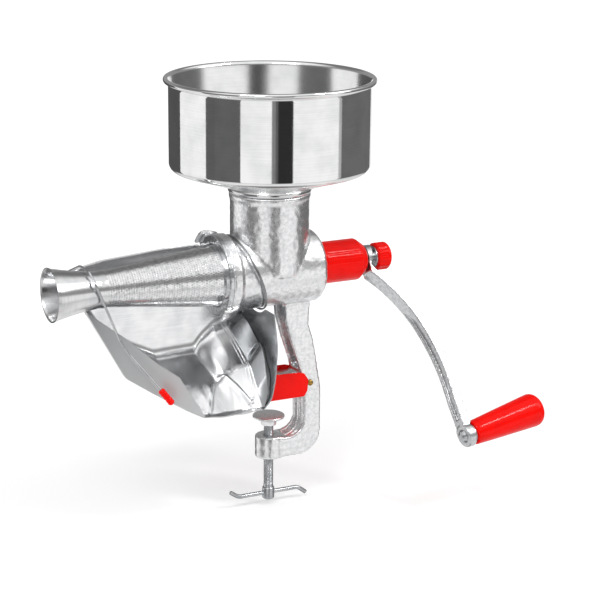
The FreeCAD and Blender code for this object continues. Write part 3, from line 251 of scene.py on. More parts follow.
def makeTraySheet(name):
    # cold rolled stainless sheet with a dull pickled finish, dullest on its flat walls where the rollers left it alone
    material = makeSteel(name, "#f4f4f5", "#e3e4e5", 0.17, 0.26, (30, 1400, 1400), 0.06)
    tree = material.node_tree
    shader = tree.nodes["Principled BSDF"]
    wall = addNode(tree, "ShaderNodeAttribute", {"attribute_name": "wallShare"})
    rolled = shader.inputs["Roughness"].links[0].from_socket
    dull = addNode(tree, "ShaderNodeMix", {"data_type": "FLOAT", "B": 0.44})
    twice = addNode(tree, "ShaderNodeMapRange", {"From Max": 0.5}, {"Value": (wall, "Fac")})
    tree.links.new(twice.outputs["Result"], dull.inputs["Factor"])
    tree.links.new(rolled, dull.inputs["A"])
    tree.links.new(dull.outputs[0], shader.inputs["Roughness"])
    bare = addNode(
        tree, "ShaderNodeMapRange", {"From Min": 0.5, "From Max": 1.0, "To Min": 1.0, "To Max": 0.25},
        {"Value": (wall, "Fac")},
    )
    tree.links.new(bare.outputs["Result"], shader.inputs["Metallic"])
    # painted shade: the near wall's colour is painted greyer towards the nose, and behind the seam the floor is painted
    # a darker grey
    place = addNode(tree, "ShaderNodeTexCoord")
    split = addNode(tree, "ShaderNodeSeparateXYZ", links={"Vector": (place, "Object")})
    along = addNode(tree, "ShaderNodeMapRange", {"From Min": -0.196, "From Max": -0.09}, {"Value": (split, "X")})
    greyer = spread(tree, along, "Result", [
        (0.0, hexColour("#8f9092")), (0.3, hexColour("#aeafb0")), (0.7, hexColour("#bcbdbe")), (1.0, hexColour("#c8c9ca")),
    ])
    near = addNode(tree, "ShaderNodeMath", {"operation": "LESS_THAN", 1: 0.03}, {0: (split, "Y")})
    nearWall = addNode(tree, "ShaderNodeMath", {"operation": "MULTIPLY"}, {0: (near, 0), 1: (wall, "Fac")})
    behind = addNode(tree, "ShaderNodeMath", {"operation": "GREATER_THAN", 1: -0.0285}, {0: (split, "X")})
    plain = shader.inputs["Base Color"].links[0].from_socket
    walled = addNode(tree, "ShaderNodeMix", {"data_type": "RGBA"}, {0: (nearWall, 0), 7: (greyer, "Color")})
    tree.links.new(plain, walled.inputs[6])
    # painted shade: behind the seam the floor is painted a darker grey
    whole = addNode(
        tree, "ShaderNodeMix", {"data_type": "RGBA", 7: hexColour("#8f9193")}, {0: (behind, 0), 6: (walled, 2)}
    )
    tree.links.new(whole.outputs[2], shader.inputs["Base Color"])
    return material


def makePlain(name, colourHex, dullHex, lowRough, highRough, metal, size):
    # small parts: a tint that drifts a little over the surface and a gloss that drifts with it
    material, tree, shader = newMaterial(name)
    place = addNode(tree, "ShaderNodeTexCoord")
    cloud = addNode(tree, "ShaderNodeTexNoise", {"Scale": 1000 / size, "Detail": 4.0}, {"Vector": (place, "Object")})
    colour = spread(tree, cloud, "Fac", [(0.35, hexColour(dullHex)), (0.65, hexColour(colourHex))])
    rough = spread(tree, cloud, "Fac", [(0.35, grey(highRough)), (0.65, grey(lowRough))])
    bump = addNode(tree, "ShaderNodeBump", {"Strength": 0.12, "Distance": 0.0002}, {"Height": (cloud, "Fac")})
    tree.links.new(colour.outputs["Color"], shader.inputs["Base Color"])
    tree.links.new(rough.outputs["Color"], shader.inputs["Roughness"])
    tree.links.new(bump.outputs["Normal"], shader.inputs["Normal"])
    shader.inputs["Metallic"].default_value = metal
    return material


looks = {
    "cast": makeCastAluminium("tumbledCastAluminium", 0.17),
    # the same alloy with a fine turned face
    "machined": makeSteel("turnedCastAluminium", "#e6e7e8", "#c6c8ca", 0.13, 0.20, (700, 700, 700), 0.10),
    # the same alloy where hands and tumbling have worn it smoother
    "worn": makeCastAluminium("wornCastAluminium", 0.04, "#dadbdc", "#c2c3c5"),
    "red": makeRedPlastic(),
    # spun 304 stainless bowl
    "bowl": makeBowlSteel("spunStainlessBowl", 0.0993),
    # turned mild steel, blackened by oil
    "oiled": makeSteel("blackenedSteel", "#2e2f30", "#1f2021", 0.30, 0.42, (900, 900, 900), 0.05),
    "sheet": makeTraySheet("dullRolledStainlessSheet"),
    # the tray's back plate: the same steel, its colour painted darker as painted shade
    "shaded": makeSteel("shadePaintedStainlessSheet", "#b2b4b6", "#979a9c", 0.16, 0.24, (30, 1400, 1400), 0.05),
    # spun stainless funnel, brushed round its axis
    "funnel": makeSteel("spunStainlessFunnel", "#e4e4e5", "#cfd0d1", 0.16, 0.24, (1400, 60, 60), 0.06),
    # drawn stainless wire and strap
    "wire": makeSteel("drawnStainlessWire", "#d2d3d4", "#b2b4b6", 0.16, 0.28, (900, 900, 900), 0.08),
    # hoop of stainless, a little rougher, its colour painted darker as painted shade
    "strap": makeSteel("shadePaintedStainlessStrap", "#a2a4a6", "#7f8183", 0.22, 0.34, (900, 900, 900), 0.08),
    # turned mild steel with bright zinc plating, a cool silver
    "zinc": makeSteel("brightZincPlatedSteel", "#d0d2d4", "#a8abae", 0.20, 0.36, (900, 900, 900), 0.15, 9.0),
    "pierced": makePerforatedSteel(),
    "brass": makePlain("plainBrass", "#c39a4e", "#8f7238", 0.25, 0.42, 1.0, 2.0),
    "rubber": makePlain("blackNitrileRubber", "#1b1b1b", "#0e0e0e", 0.55, 0.75, 0.0, 3.0),
}
print("materials made:", len(looks))


# ---- shape tools ----
def gridQuads(rows, columns, wrapRows=False, wrapColumns=True):
    # the four corner numbers of each cell between neighbouring rows and columns
    a, b = np.meshgrid(
        np.arange(rows if wrapRows else rows - 1), np.arange(columns if wrapColumns else columns - 1), indexing="ij"
    )
    a, b = a.ravel(), b.ravel()
    nextRow, nextColumn = (a + 1) % rows, (b + 1) % columns
    return np.stack([a * columns + b, a * columns + nextColumn, nextRow * columns + nextColumn, nextRow * columns + b], 1)


def signedVolume(points, quads):
    # sum over cells of the tetrahedra that they make with the origin
    p = points[quads]
    firstHalf = np.einsum("ij,ij->i", p[:, 0], np.cross(p[:, 1], p[:, 2]))
    secondHalf = np.einsum("ij,ij->i", p[:, 0], np.cross(p[:, 2], p[:, 3]))
    return (firstHalf + secondHalf).sum() / 6


def finishPiece(piece, material, body, nodes=(), sharp=38):
    piece.data.materials.clear()
    piece.data.materials.append(material)
    piece.data.shade_smooth()
    piece.data.set_sharp_from_angle(angle=math.radians(sharp))
    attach(piece, body)
    if nodes:
        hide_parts(*nodes)
    return piece


def makeMesh(name, points, quads, merge=False, turnOut=True):
    if turnOut and signedVolume(points, quads) < 0:
        quads = quads[:, ::-1]
    mesh = bpy.data.meshes.new(name)
    mesh.from_pydata((points * mm).tolist(), [], quads.tolist())
    if merge:
        build = bmesh.new()
        build.from_mesh(mesh)
        bmesh.ops.remove_doubles(build, verts=build.verts, dist=1e-7)
        loose = [edge for edge in build.edges if not edge.link_faces]
        bmesh.ops.delete(build, geom=loose, context="EDGES")
        build.to_mesh(mesh)
        build.free()
    mesh.validate()
    piece = bpy.data.objects.new(name, mesh)
    scene.collection.objects.link(piece)
    return piece


def rounded(corners, radius, steps=4, closed=True):
    # each corner gives way to a quadratic curve between points set back along its two sides
    corners = np.array(corners, float)
    before = np.roll(corners, 1, 0) - corners
    after = np.roll(corners, -1, 0) - corners
    lengthBefore = np.linalg.norm(before, axis=1)
    lengthAfter = np.linalg.norm(after, axis=1)
    reach = np.minimum(radius, 0.45 * np.minimum(lengthBefore, lengthAfter))
    if closed:
        reach = np.where(corners[:, -1] < 1e-6, 0, reach)  # corners on the axis stay where they are
    else:
        reach[[0, -1]] = 0
    first = corners + before * (reach / lengthBefore)[:, None]
    last = corners + after * (reach / lengthAfter)[:, None]
    t = np.linspace(0, 1, steps + 1)[None, :, None]
    curve = (1 - t) ** 2 * first[:, None] + 2 * t * (1 - t) * corners[:, None] + t ** 2 * last[:, None]
    return curve.reshape(-1, corners.shape[1])


def turned(name, line, corners, radius=0.6, segments=96, relief=None, rings=None, steps=4):
    # a closed outline of (distance along the axis, radius) carried round the axis; relief(s, angle, r) changes the radius
    origin, direction = np.array(line[0], float), np.array(line[1], float)
    direction = direction / np.linalg.norm(direction)
    outline = rounded(corners, radius, steps)
    if rings:
        ends = np.roll(outline, -1, 0)
        counts = np.maximum(1, (np.linalg.norm(ends - outline, axis=1) / rings).astype(int))
        outline = np.concatenate([a + (b - a) * np.arange(n)[:, None] / n for a, b, n in zip(outline, ends, counts)])
    angle = np.linspace(0, 2 * np.pi, segments, endpoint=False)
    s, r = outline[:, :1], outline[:, 1:]
    if relief is not None:
        r = r + relief(s, angle[None, :], r)
    side = np.cross(direction, (0.0, 1.0, 0.0))
    if np.linalg.norm(side) < 0.1:
        side = np.cross(direction, (1.0, 0.0, 0.0))
    side = side / np.linalg.norm(side)
    other = np.cross(direction, side)
    spoke = np.cos(angle)[:, None] * side + np.sin(angle)[:, None] * other
    points = origin + s[:, :, None] * direction + (r + 0 * angle[None, :])[:, :, None] * spoke[None]
    rows = len(outline)
    return makeMesh(name, points.reshape(-1, 3), gridQuads(rows, segments, wrapRows=True), merge=True)


def softNoise(points, size, seed):
    # a sum of plane waves with drawn directions and phases: an even, lumpy field of about plus or minus one
    draw = np.random.default_rng(seed)
    directions = draw.normal(size=(3, 26))
    directions /= np.linalg.norm(directions, axis=0)
    phases = draw.uniform(0, 2 * np.pi, 26)
    return np.sin(points @ directions * (2 * np.pi / size) + phases).sum(1) / np.sqrt(26)


def modified(piece, *modifiers):
    # the mesh with these modifiers applied
    for kind, settings in modifiers:
        modifier = piece.modifiers.new(kind.lower(), kind)
        for key, value in settings.items():
            setattr(modifier, key, value)
    bpy.context.view_layer.update()
    shaped = bpy.data.meshes.new_from_object(piece.evaluated_get(bpy.context.evaluated_depsgraph_get()))
    piece.modifiers.clear()
    piece.data = shaped
    return piece


def softened(node, name, voxel, passes, relief=0.0, lump=8.0, seed=1):
    # a merged copy of a CAD node as an even skin of small cells, with its edges rounded by smoothing and a cast unevenness
    mesh = frame["nodes"][node].data.copy()
    build = bmesh.new()
    build.from_mesh(mesh)
    bmesh.ops.remove_doubles(build, verts=build.verts, dist=1e-6)
    build.to_mesh(mesh)
    build.free()
    mesh.name = name
    piece = bpy.data.objects.new(name, mesh)
    scene.collection.objects.link(piece)
    modified(
        piece,
        ("REMESH", {"mode": "VOXEL", "voxel_size": voxel * mm, "adaptivity": 0.0}),
        ("SMOOTH", {"factor": 0.5, "iterations": passes}),
    )
    if relief:
        count = len(piece.data.vertices)
        points = np.empty(count * 3, np.float32)
        normals = np.empty(count * 3, np.float32)
        piece.data.vertices.foreach_get("co", points)
        piece.data.vertex_normals.foreach_get("vector", normals)
        points = points.reshape(-1, 3) / mm
        raised = relief * (0.7 * softNoise(points, lump, seed) + 0.3 * softNoise(points, lump * 0.35, seed + 1))
        points += normals.reshape(-1, 3) * np.clip(raised, -relief, relief)[:, None]
        piece.data.vertices.foreach_set("co", (points * mm).astype(np.float32).ravel())
        piece.data.update()
    return piece


def joined(piece, *others):
    # the other meshes become part of the first one
    build = bmesh.new()
    build.from_mesh(piece.data)
    for other in others:
        build.from_mesh(other.data)
        bpy.data.objects.remove(other)
    build.to_mesh(piece.data)
    build.free()
    return piece


def tube(name, spots, bend, radius, around=14, steps=6, widths=None):
    # a round section carried along runs that are joined by smooth bends; widths scales it from one end to the other
    spots = np.array(spots, float)
    path = rounded(spots, bend, steps, closed=False)
    keepPoint = np.r_[True, np.linalg.norm(np.diff(path, axis=0), axis=1) > 1e-6]
    path = path[keepPoint]
    ahead = np.gradient(path, axis=0)
    ahead /= np.linalg.norm(ahead, axis=1)[:, None]
    side = np.cross(ahead, (0.5, -0.3, 0.81))
    side /= np.linalg.norm(side, axis=1)[:, None]
    other = np.cross(ahead, side)
    angle = np.linspace(0, 2 * np.pi, around, endpoint=False)
    circle = np.cos(angle)[:, None, None] * side + np.sin(angle)[:, None, None] * other
    size = np.ones(len(path)) if widths is None else np.interp(np.linspace(0, 1, len(path)), *widths)
    rings = path[None] + radius * size[None, :, None] * circle
    rings = rings.transpose(1, 0, 2)
    # a smaller ring and a point close each end
    first = path[0] + 0.55 * (rings[0] - path[0]) - 0.35 * radius * ahead[0]
    last = path[-1] + 0.55 * (rings[-1] - path[-1]) + 0.35 * radius * ahead[-1]
    tipFirst = np.repeat((path[0] - 0.42 * radius * ahead[0])[None], around, 0)
    tipLast = np.repeat((path[-1] + 0.42 * radius * ahead[-1])[None], around, 0)
    points = np.concatenate([[tipFirst], [first], rings, [last], [tipLast]])
    return makeMesh(name, points.reshape(-1, 3), gridQuads(len(points), around), merge=True)


# ---- cast body ----
casting = {"cell": 1.5, "smoothing": 5, "relief": 0.16, "lump": 7.0}

body = softened("body_casting", "castBody", casting["cell"], casting["smoothing"], casting["relief"], casting["lump"])
finishPiece(body, looks["cast"], "stand", ["body_casting"], sharp=60)
print("cast body:", len(body.data.polygons), "faces")

flange = softened("filter_flange", "strainerFlange", 0.7, 3, 0.06, 5.0, 3)
finishPiece(flange, looks["machined"], "strainer", ["filter_flange"], sharp=60)


# ---- table shoe and clamp ----
shoe = softened("table_pad", "tableShoe", 0.6, 4)
finishPiece(shoe, looks["red"], "stand", ["table_pad"], sharp=60)

clamp = {
    "screwRadius": 5.0, "pitch": 1.5, "threadDepth": 0.55, "tip": -23.0, "headTop": -98.5, "headEnd": -111.5,
    "headRadius": 6.25, "barRadius": 2.25, "barHeight": -105.0, "barHalf": 34.0, "barBend": 9.0,
    "discTop": -20.0, "discRadius": 16.5,
}


def makeScrew():
    # radius = full radius less a rounded notch that climbs one pitch in each turn, fading out at both ends
    pitch, depth = clamp["pitch"], clamp["threadDepth"]
    low, high = clamp["headTop"] - 0.5, clamp["tip"]
    around, perTurn = 40, 7
    z = np.linspace(low, high, int((high - low) / pitch * perTurn))[:, None]
    angle = np.linspace(0, 2 * np.pi, around, endpoint=False)[None, :]
    phase = (z / pitch - angle / (2 * np.pi)) % 1
    notch = np.clip(1.25 - np.abs(phase - 0.5) * 3.2, 0, 1)
    fade = np.clip((z - low - 3) / 2, 0, 1) * np.clip((high - 1.5 - z) / 2, 0, 1)
    chamfer = np.clip(1.2 - (high - z), 0, 1.2)
    radius = clamp["screwRadius"] - depth * notch * fade - chamfer
    points = np.stack([radius * np.cos(angle), radius * np.sin(angle), z + 0 * angle], 2)
    bottom, top = np.zeros((1, around, 3)), np.zeros((1, around, 3))
    bottom[..., 2], top[..., 2] = low, high
    points = np.concatenate([bottom, points, top])
    shank = makeMesh("clampScrew", points.reshape(-1, 3), gridQuads(len(points), around), merge=True)
    r, end = clamp["headRadius"], clamp["headEnd"]
    head = turned("screwHead", clampLine, [
        (end, 0), (end, r - 0.8), (end + 0.8, r), (clamp["headTop"] - 0.9, r), (clamp["headTop"], r - 0.9), (clamp["headTop"], 0),
    ], 0.5, 64)
    drill = turned("drill", ((0, 0, clamp["barHeight"]), (1, 0, 0)), [
        (-12, 0), (-12, clamp["barRadius"] + 0.12), (12, clamp["barRadius"] + 0.12), (12, 0),
    ], 0.01, 32)
    modified(head, ("BOOLEAN", {"object": drill, "operation": "DIFFERENCE", "solver": "EXACT"}))
    bpy.data.objects.remove(drill)
    joined(shank, head)
    return finishPiece(shank, looks["zinc"], "clamp_screw", ["clamp_screw"], sharp=35)


def makeTommyBar():
    # the bar's ends are bent apart and upset a little, so that it stays in the screw
    height, end = clamp["barHeight"], clamp["barHalf"] + clamp["barBend"]
    bar = tube("tommyBar", [
        (-end, 0, height + 6), (-end + 2.5, 0, height + 4.3), (-clamp["barHalf"], 0, height), (clamp["barHalf"], 0, height),
        (end - 2.5, 0, height - 5.05), (end, 0, height - 7),
    ], 6, clamp["barRadius"], 20, 6)
    return finishPiece(bar, looks["zinc"], "tommy_bar", ["tommy_bar"])


def makeDisc():
    top, r, bore = clamp["discTop"], clamp["discRadius"], clamp["screwRadius"] + 0.05
    disc = turned("clampDisc", clampLine, [
        (top, 0), (top, r - 0.6), (top - 0.6, r), (top - 2.2, r), (top - 3.4, r - 2.5), (top - 5, bore + 3.6),
        (top - 10.7, bore + 2.5), (top - 10.7, bore), (top - 2.95, bore), (top - 2.95, 0),
    ], 0.7, 96)
    return finishPiece(disc, looks["cast"], "clamp_disc", ["clamp_disc"])


makeScrew()
makeTommyBar()
makeDisc()
print("shoe and clamp made")


# ---- hopper ----
hopper = {
    "wall": 100.0, "sheet": 1.2, "top": 193.2, "floor": 103.0, "corner": 7.0, "bead": 2.35, "beadOut": 4.6,
    "shoulder": 41.5, "neckTop": 81.3, "neck": 32.7, "spigotTop": 86.3, "spigot": 34.2, "spigotEnd": 60.0,
}


def makeHopper():
    # inside face down, outside face up, then the rim rolled outwards into a bead
    wall, sheet, top, floor = hopper["wall"], hopper["sheet"], hopper["top"], hopper["floor"]
    corner = hopper["corner"]
    turn = np.radians(np.arange(8, 90, 8))
    outerCorner = [(floor + corner - corner * math.sin(a), wall - corner + corner * math.cos(a)) for a in turn]
    inner = corner - sheet
    innerCorner = [(floor + corner - inner * math.sin(a), wall - corner + inner * math.cos(a)) for a in turn]
    outline = [(hopper["spigotTop"] + 0.05, hopper["neck"] + 0.6), (hopper["spigotTop"] + 0.05, hopper["shoulder"])]
    outline += outerCorner[::-1] + [(floor + corner, wall), (top - 6, wall)]
    outline += [(top - 3.4, wall + 0.4)]
    outline += [(top - 3.5, wall + 2.4), (top - 2.6, wall + 4.6), (top - 0.6, wall + 5.2), (top + 1.2, wall + 4.4), (top + 1.9, wall + 2.4), (top + 1.2, wall + 0.3)]
    outline += [(top - 1, wall - sheet + 0.1), (top - 6, wall - sheet), (floor + corner, wall - sheet)]
    outline += innerCorner + [(hopper["spigotTop"] + sheet, hopper["shoulder"]), (hopper["spigotTop"] + sheet, hopper["neck"] + 0.6)]
    bowl = turned("hopperBowl", upright, outline, 1.4, 192, steps=3)
    bowl.visible_glossy = False  # its inner walls mirror the studio, not each other without end
    return finishPiece(bowl, looks["bowl"], "hopper", ["hopper_bowl"], sharp=50)


def makeSpigot():
    shelf, top = hopper["neckTop"], hopper["spigotTop"]
    spigot = turned("hopperSpigot", upright, [
        (hopper["spigotEnd"], hopper["neck"]), (hopper["spigotEnd"], hopper["spigot"] - 0.5),
        (hopper["spigotEnd"] + 3, hopper["spigot"]), (shelf, hopper["spigot"]), (shelf, hopper["shoulder"] - 0.2),
        (shelf + 1.6, hopper["shoulder"] + 0.5), (top - 1.6, hopper["shoulder"] + 0.5), (top, hopper["shoulder"] - 0.2), (top, hopper["neck"]),
    ], 0.5, 128)
    return finishPiece(spigot, looks["funnel"], "hopper", ["hopper_spigot"], sharp=50)


makeHopper()
makeSpigot()
print("hopper made")


# ---- strainer cone and waste funnel ----
cone = {
    "large": 31.0, "small": 17.0, "front": -62.0, "end": -185.0, "sheet": 1.0, "around": 74, "rowPitch": 2.5,
    "dimple": 0.20, "perCell": 5, "uneven": 0.7,
}


def makeCone():
    # radius falls evenly along the cone; every cell of a staggered net carries a low crater: a ring raised round a sunk mouth
    rowCount = int((cone["front"] - cone["end"] - 7) / cone["rowPitch"])
    around, rows = cone["around"] * cone["perCell"], rowCount * cone["perCell"]
    x = np.linspace(cone["front"] - 3, cone["end"] + 4, rows)[:, None]
    angle = np.linspace(0, 2 * np.pi, around, endpoint=False)[None, :]
    run = (x - cone["front"]) / (cone["end"] - cone["front"])
    radius = cone["large"] + (cone["small"] - cone["large"]) * run
    lineNumber = (cone["front"] - 3 - x) / cone["rowPitch"]
    stagger = 0.5 * (np.floor(lineNumber) % 2)
    u = (angle / (2 * np.pi) * cone["around"] + stagger) % 1 - 0.5
    v = lineNumber % 1 - 0.5
    width = 2 * np.pi * radius / cone["around"] / cone["rowPitch"]
    away = np.hypot(u * width, v) * 2
    cell = np.floor(lineNumber) * 131 + np.floor((angle / (2 * np.pi) * cone["around"] + stagger) % cone["around"])
    strength = 1 - cone["uneven"] * (np.sin(cell * 12.9898) * 43758.5453 % 1)
    crater = strength * cone["dimple"] * (np.exp(-((away - 0.42) / 0.26) ** 2) - 0.9 * np.exp(-(away / 0.24) ** 2))
    mouth = np.clip(1.6 - away / 0.26, 0, 1) * strength
    outer = radius - 0.15 + crater
    ends = np.array([[cone["front"] - 0.05, cone["large"]]])
    close = np.array([[cone["end"], cone["small"]], [cone["end"], cone["small"] - cone["sheet"]],
                      [cone["front"] - 0.05, cone["large"] - cone["sheet"]], [cone["front"] + 4.9, cone["large"] - cone["sheet"]],
                      [cone["front"] + 4.9, cone["large"] + 1.9], [cone["front"] + 3.7, cone["large"] + 1.9], [cone["front"] + 3.7, cone["large"]]])
    fullX = np.concatenate([ends[:, :1] + 0 * angle, x + 0 * angle, close[:, :1] + 0 * angle])
    fullR = np.concatenate([ends[:, 1:] + 0 * angle, outer, close[:, 1:] + 0 * angle])
    # each mouth's share, which the material paints dark as painted shade for the open holes
    depth = np.concatenate([0 * angle, mouth + 0 * angle, np.zeros((len(close), around))])
    points = np.stack([fullX, fullR * np.cos(angle), fullR * np.sin(angle) + axisHeight], 2)
    piece = makeMesh("strainerCone", points.reshape(-1, 3), gridQuads(len(fullX), around, wrapRows=True))
    holes = piece.data.attributes.new("holeDepth", "FLOAT", "POINT")
    holes.data.foreach_set("value", depth.astype(np.float32).ravel())
    finishPiece(piece, looks["pierced"], "strainer", ["filter_cone"], sharp=75)
    print("cone:", len(piece.data.polygons), "faces")


funnel = {"throat": 17.15, "mouth": 26.8, "sheet": 1.0, "length": 48.0}


def makeFunnel():
    # the throat grips the cone, the trumpet opens in a smooth curve and ends in a small rolled lip
    end, sheet = cone["end"], funnel["sheet"]
    t = np.linspace(0, 1, 14)
    trumpet = funnel["throat"] + (funnel["mouth"] - 1.4 - funnel["throat"]) * (0.55 * t + 0.45 * t ** 2.2)
    along = end - funnel["length"] * t
    grip = [(end + 6, funnel["throat"] + 0.75), (end + 6, funnel["throat"] + 0.7 + sheet)]
    outside = [(x, r + sheet) for x, r in zip(along, trumpet)]
    lip = [(along[-1] + 0.2, funnel["mouth"] - 0.1), (along[-1] + 0.05, funnel["mouth"] - 0.05), (along[-1], funnel["mouth"] - 1.5)]
    inside = [(x, r) for x, r in zip(along, trumpet)][-2::-1]
    piece = turned("wasteFunnel", barrel, grip + outside[:-1] + lip + inside, 0.5, 128, steps=2)
    return finishPiece(piece, looks["funnel"], "strainer", ["waste_funnel"], sharp=50)


makeCone()
makeFunnel()
print("strainer made")


# ---- bushing, crank, knob and grip ----
bushing = {"radius": 21.5, "start": 49.6, "end": 105.5, "bore": 8.05, "seat": 13.9, "ribs": 40, "ribDepth": 0.14}


def makeBushing():
    # shallow flutes run along the barrel of the bushing and die out towards both ends
    r, start, end = bushing["radius"], bushing["start"], bushing["end"]

    def flutes(s, angle, radius):
        fade = np.clip((s - start - 5) / 2.5, 0, 1) * np.clip((end - 8.5 - s) / 2.5, 0, 1)
        return -bushing["ribDepth"] * np.abs(np.sin(angle * bushing["ribs"] / 2)) ** 3 * fade * (radius > r - 2)

    piece = turned("rearBushing", barrel, [
        (42.6, bushing["bore"]), (42.6, bushing["seat"]), (start, bushing["seat"]), (start, r - 0.9), (start + 0.9, r),
        (end - 9, r), (end - 2, r - 5), (end, r - 7), (end, bushing["bore"]),
        (end - 6, bushing["bore"]), (end - 6, bushing["bore"] + 5), (start + 5, bushing["bore"] + 5), (start + 5, bushing["bore"]),
    ], 0.8, 320, flutes, rings=2.5)
    return finishPiece(piece, looks["red"], "stand", ["rear_bushing"], sharp=40)


makeBushing()

crank = softened("crank_arm", "crankArm", 0.7, 4, 0.05, 6.0, 5)
finishPiece(crank, looks["worn"], "crank", ["crank_arm"], sharp=60)

knob = {"start": 118.8, "length": 17.5, "radius": 15.0, "bore": 5.05, "ribs": 12}


def makeKnob():
    # soft finger scallops round a domed knob
    start, end, r = knob["start"], knob["start"] + knob["length"], knob["radius"]
    lean = np.radians(np.arange(0, 91, 11.25))
    dome = [(end - 5.5 + 5.5 * math.sin(a), r * 0.35 + (r * 0.62) * math.cos(a)) for a in lean]

    def scallops(s, angle, radius):
        fade = np.clip((end - 4 - s) / 4, 0, 1) * np.clip((s - start) / 2, 0, 1) * (radius > r - 4)
        return -0.7 * (0.5 - 0.5 * np.cos(angle * knob["ribs"])) ** 2 * fade

    piece = turned("crankKnob", barrel, [
        (start, knob["bore"]), (start, r - 2), (start + 1.5, r - 0.5),
        *dome, (end, 0), (start + 12, 0), (start + 12, knob["bore"]),
    ], 0.8, 144, scallops, rings=1.5)
    return finishPiece(piece, looks["red"], "knob", ["crank_knob"], sharp=40)


makeKnob()

grip = {"start": 6.4, "length": 85.7, "small": 12.5, "large": 17.5, "bore": 4.05}
gripJoint = next(joint for joint in frame["joints"] if joint["name"] == "grip_spin")
gripLine = (np.array(gripJoint["pos_m"]) / mm, gripJoint["axis"])


def makeGrip():
    # a taper that swells towards its far end and rounds over
    start, end = grip["start"], grip["start"] + grip["length"]
    small, large, bore = grip["small"], grip["large"], grip["bore"]
    t = np.linspace(0, 1, 12)
    swell = [(start + 1.5 + (end - 11 - start) * k, small + (large - small) * k ** 0.92) for k in t]
    lean = np.radians(np.arange(12, 91, 13))
    dome = [(end - 9 + 9 * math.sin(a), large - 9 + 9 * math.cos(a)) for a in lean]
    piece = turned("handleGrip", gripLine, [
        (start, bore), (start, small - 1.2), *swell, *dome, (end, 0),
        (end - 10.5, 0), (end - 10.5, bore + 2), (end - 14, bore + 2), (end - 14, bore),
    ], 0.7, 128, steps=2)
    return finishPiece(piece, looks["red"], "grip", ["handle_grip"], sharp=50)


makeGrip()
print("crank and grip made")


# ---- juice tray ----
tray = {
    "near": 46.0, "far": 47.5, "lip": -132.0, "sheet": 1.2, "nose": -196.0, "corner": -91.0, "rimEnd": -114.0, "end": -13.0,
    # station x, far wall's top, its foot, the floor's middle, the near wall's foot (y, z) and its rim (y, z)
    "stations": [
        (-196, 8, -10, -20, 1, -25, 2, -21.5),
        (-162, 15, -63, -76, 14, -90.6, 17, -48),
        (-133.5, 17, -80, -94, 24, -109.3, 27, -74),
        (-108, 19, -92, -107, 39, -124, 40, -93),
        (-92, 20, -91, -108, 46, -132, 46, -98),
        (-64, 20, -90, -108, 46, -132, 46, -98),
        (-56, 20, -80, -101, 46, -132, 46, -98),
        (-42, 20, -68, -95, 46, -132, 46, -98),
        (-13, 20, -60, -90, 46, -132, 46, -98),
    ],
    "bends": (12, 5, 3),  # radii where the far wall meets the floor, along the floor and at the near wall's foot
    "topCorner": 15.0, "noseRows": 90, "spoutRows": 90, "hem": 1.05, "seam": -30.0,
    # the back plate in side view, as (z, x), bowed towards the frame and curled in at the lip
    "backLine": [(-132, -29.0), (-122, -19.5), (-101, -15.4), (-70, -13.3), (-55, -14.6), (-34, -17.2)],
    # the far wall's free end above the back plate, as (z, x)
    "farEnd": [(-33.5, -17.2), (-28, -25.0), (22, -58.0)],
}
backLine = np.array(tray["backLine"], float)
farEnd = np.array(tray["farEnd"], float)


def backX(z):
    return np.interp(z, backLine[:, 0], backLine[:, 1])


def smoothAlong(values, width):
    # a running average with the ends carried on in a straight line
    pad = np.arange(1, width + 1)[:, None]
    head = values[:1] + (values[:1] - values[1:2]) * pad[::-1]
    tail = values[-1:] + (values[-1:] - values[-2:-1]) * pad
    padded = np.concatenate([head, values, tail])
    kernel = np.hanning(2 * width + 3)[1:-1]
    kernel /= kernel.sum()
    return np.stack([np.convolve(column, kernel, "valid") for column in padded.T], 1)


def trayLines(x):
    # for each x the line across the tray: far wall, floor and near wall, with marks that tell the stretches apart
    stations = np.array(tray["stations"], float)
    at = np.stack([np.interp(x, stations[:, 0], column) for column in stations[:, 1:].T], 1)
    top, fold, middle, footY, footZ, rimY, rimZ = smoothAlong(at, 4).T
    # the far wall's upper corner is cut to an arc at the nose
    t = np.clip(1 - (x - tray["nose"]) / tray["topCorner"], 0, 1)
    top = top - tray["topCorner"] * 0.8 * (1 - np.sqrt(1 - t ** 2))
    far = np.full_like(x, tray["far"] - 0.6)
    section = np.stack([
        np.stack([far, top], 1), np.stack([far - 1.5, fold], 1), np.stack([-footY * 0.5 + far * 0.2, middle], 1),
        np.stack([-footY + 0.6, footZ + 0.7], 1), np.stack([-rimY + 0.6, rimZ], 1),
    ], 1)
    parts, marks, last = [], [], section[:, 0]
    k = np.linspace(0, 1, 7)[None, 1:, None]
    for index, (bend, run) in enumerate(zip((*tray["bends"], 0), (14, 14, 16, 10))):
        corner = section[:, index + 1]
        before, first = section[:, index] - corner, corner
        if bend:
            after = section[:, index + 2] - corner
            lengths = [np.linalg.norm(side, axis=1)[:, None] for side in (before, after)]
            reach = np.minimum(bend, 0.45 * np.minimum(*lengths))
            first, past = corner + before * (reach / lengths[0]), corner + after * (reach / lengths[1])
        share = np.arange(run)[None, :, None] / run
        parts.append(last[:, None] * (1 - share) + first[:, None] * share)
        marks += [2 * index] * run
        parts.append(first[:, None])
        marks.append(2 * index + 1)
        if bend:
            parts.append((1 - k) ** 2 * first[:, None] + 2 * k * (1 - k) * corner[:, None] + k ** 2 * past[:, None])
            marks += [2 * index + 1] * 5
            parts[-1] = parts[-1][:, :-1]
            last = past
    return np.concatenate(parts, 1), np.array(marks)


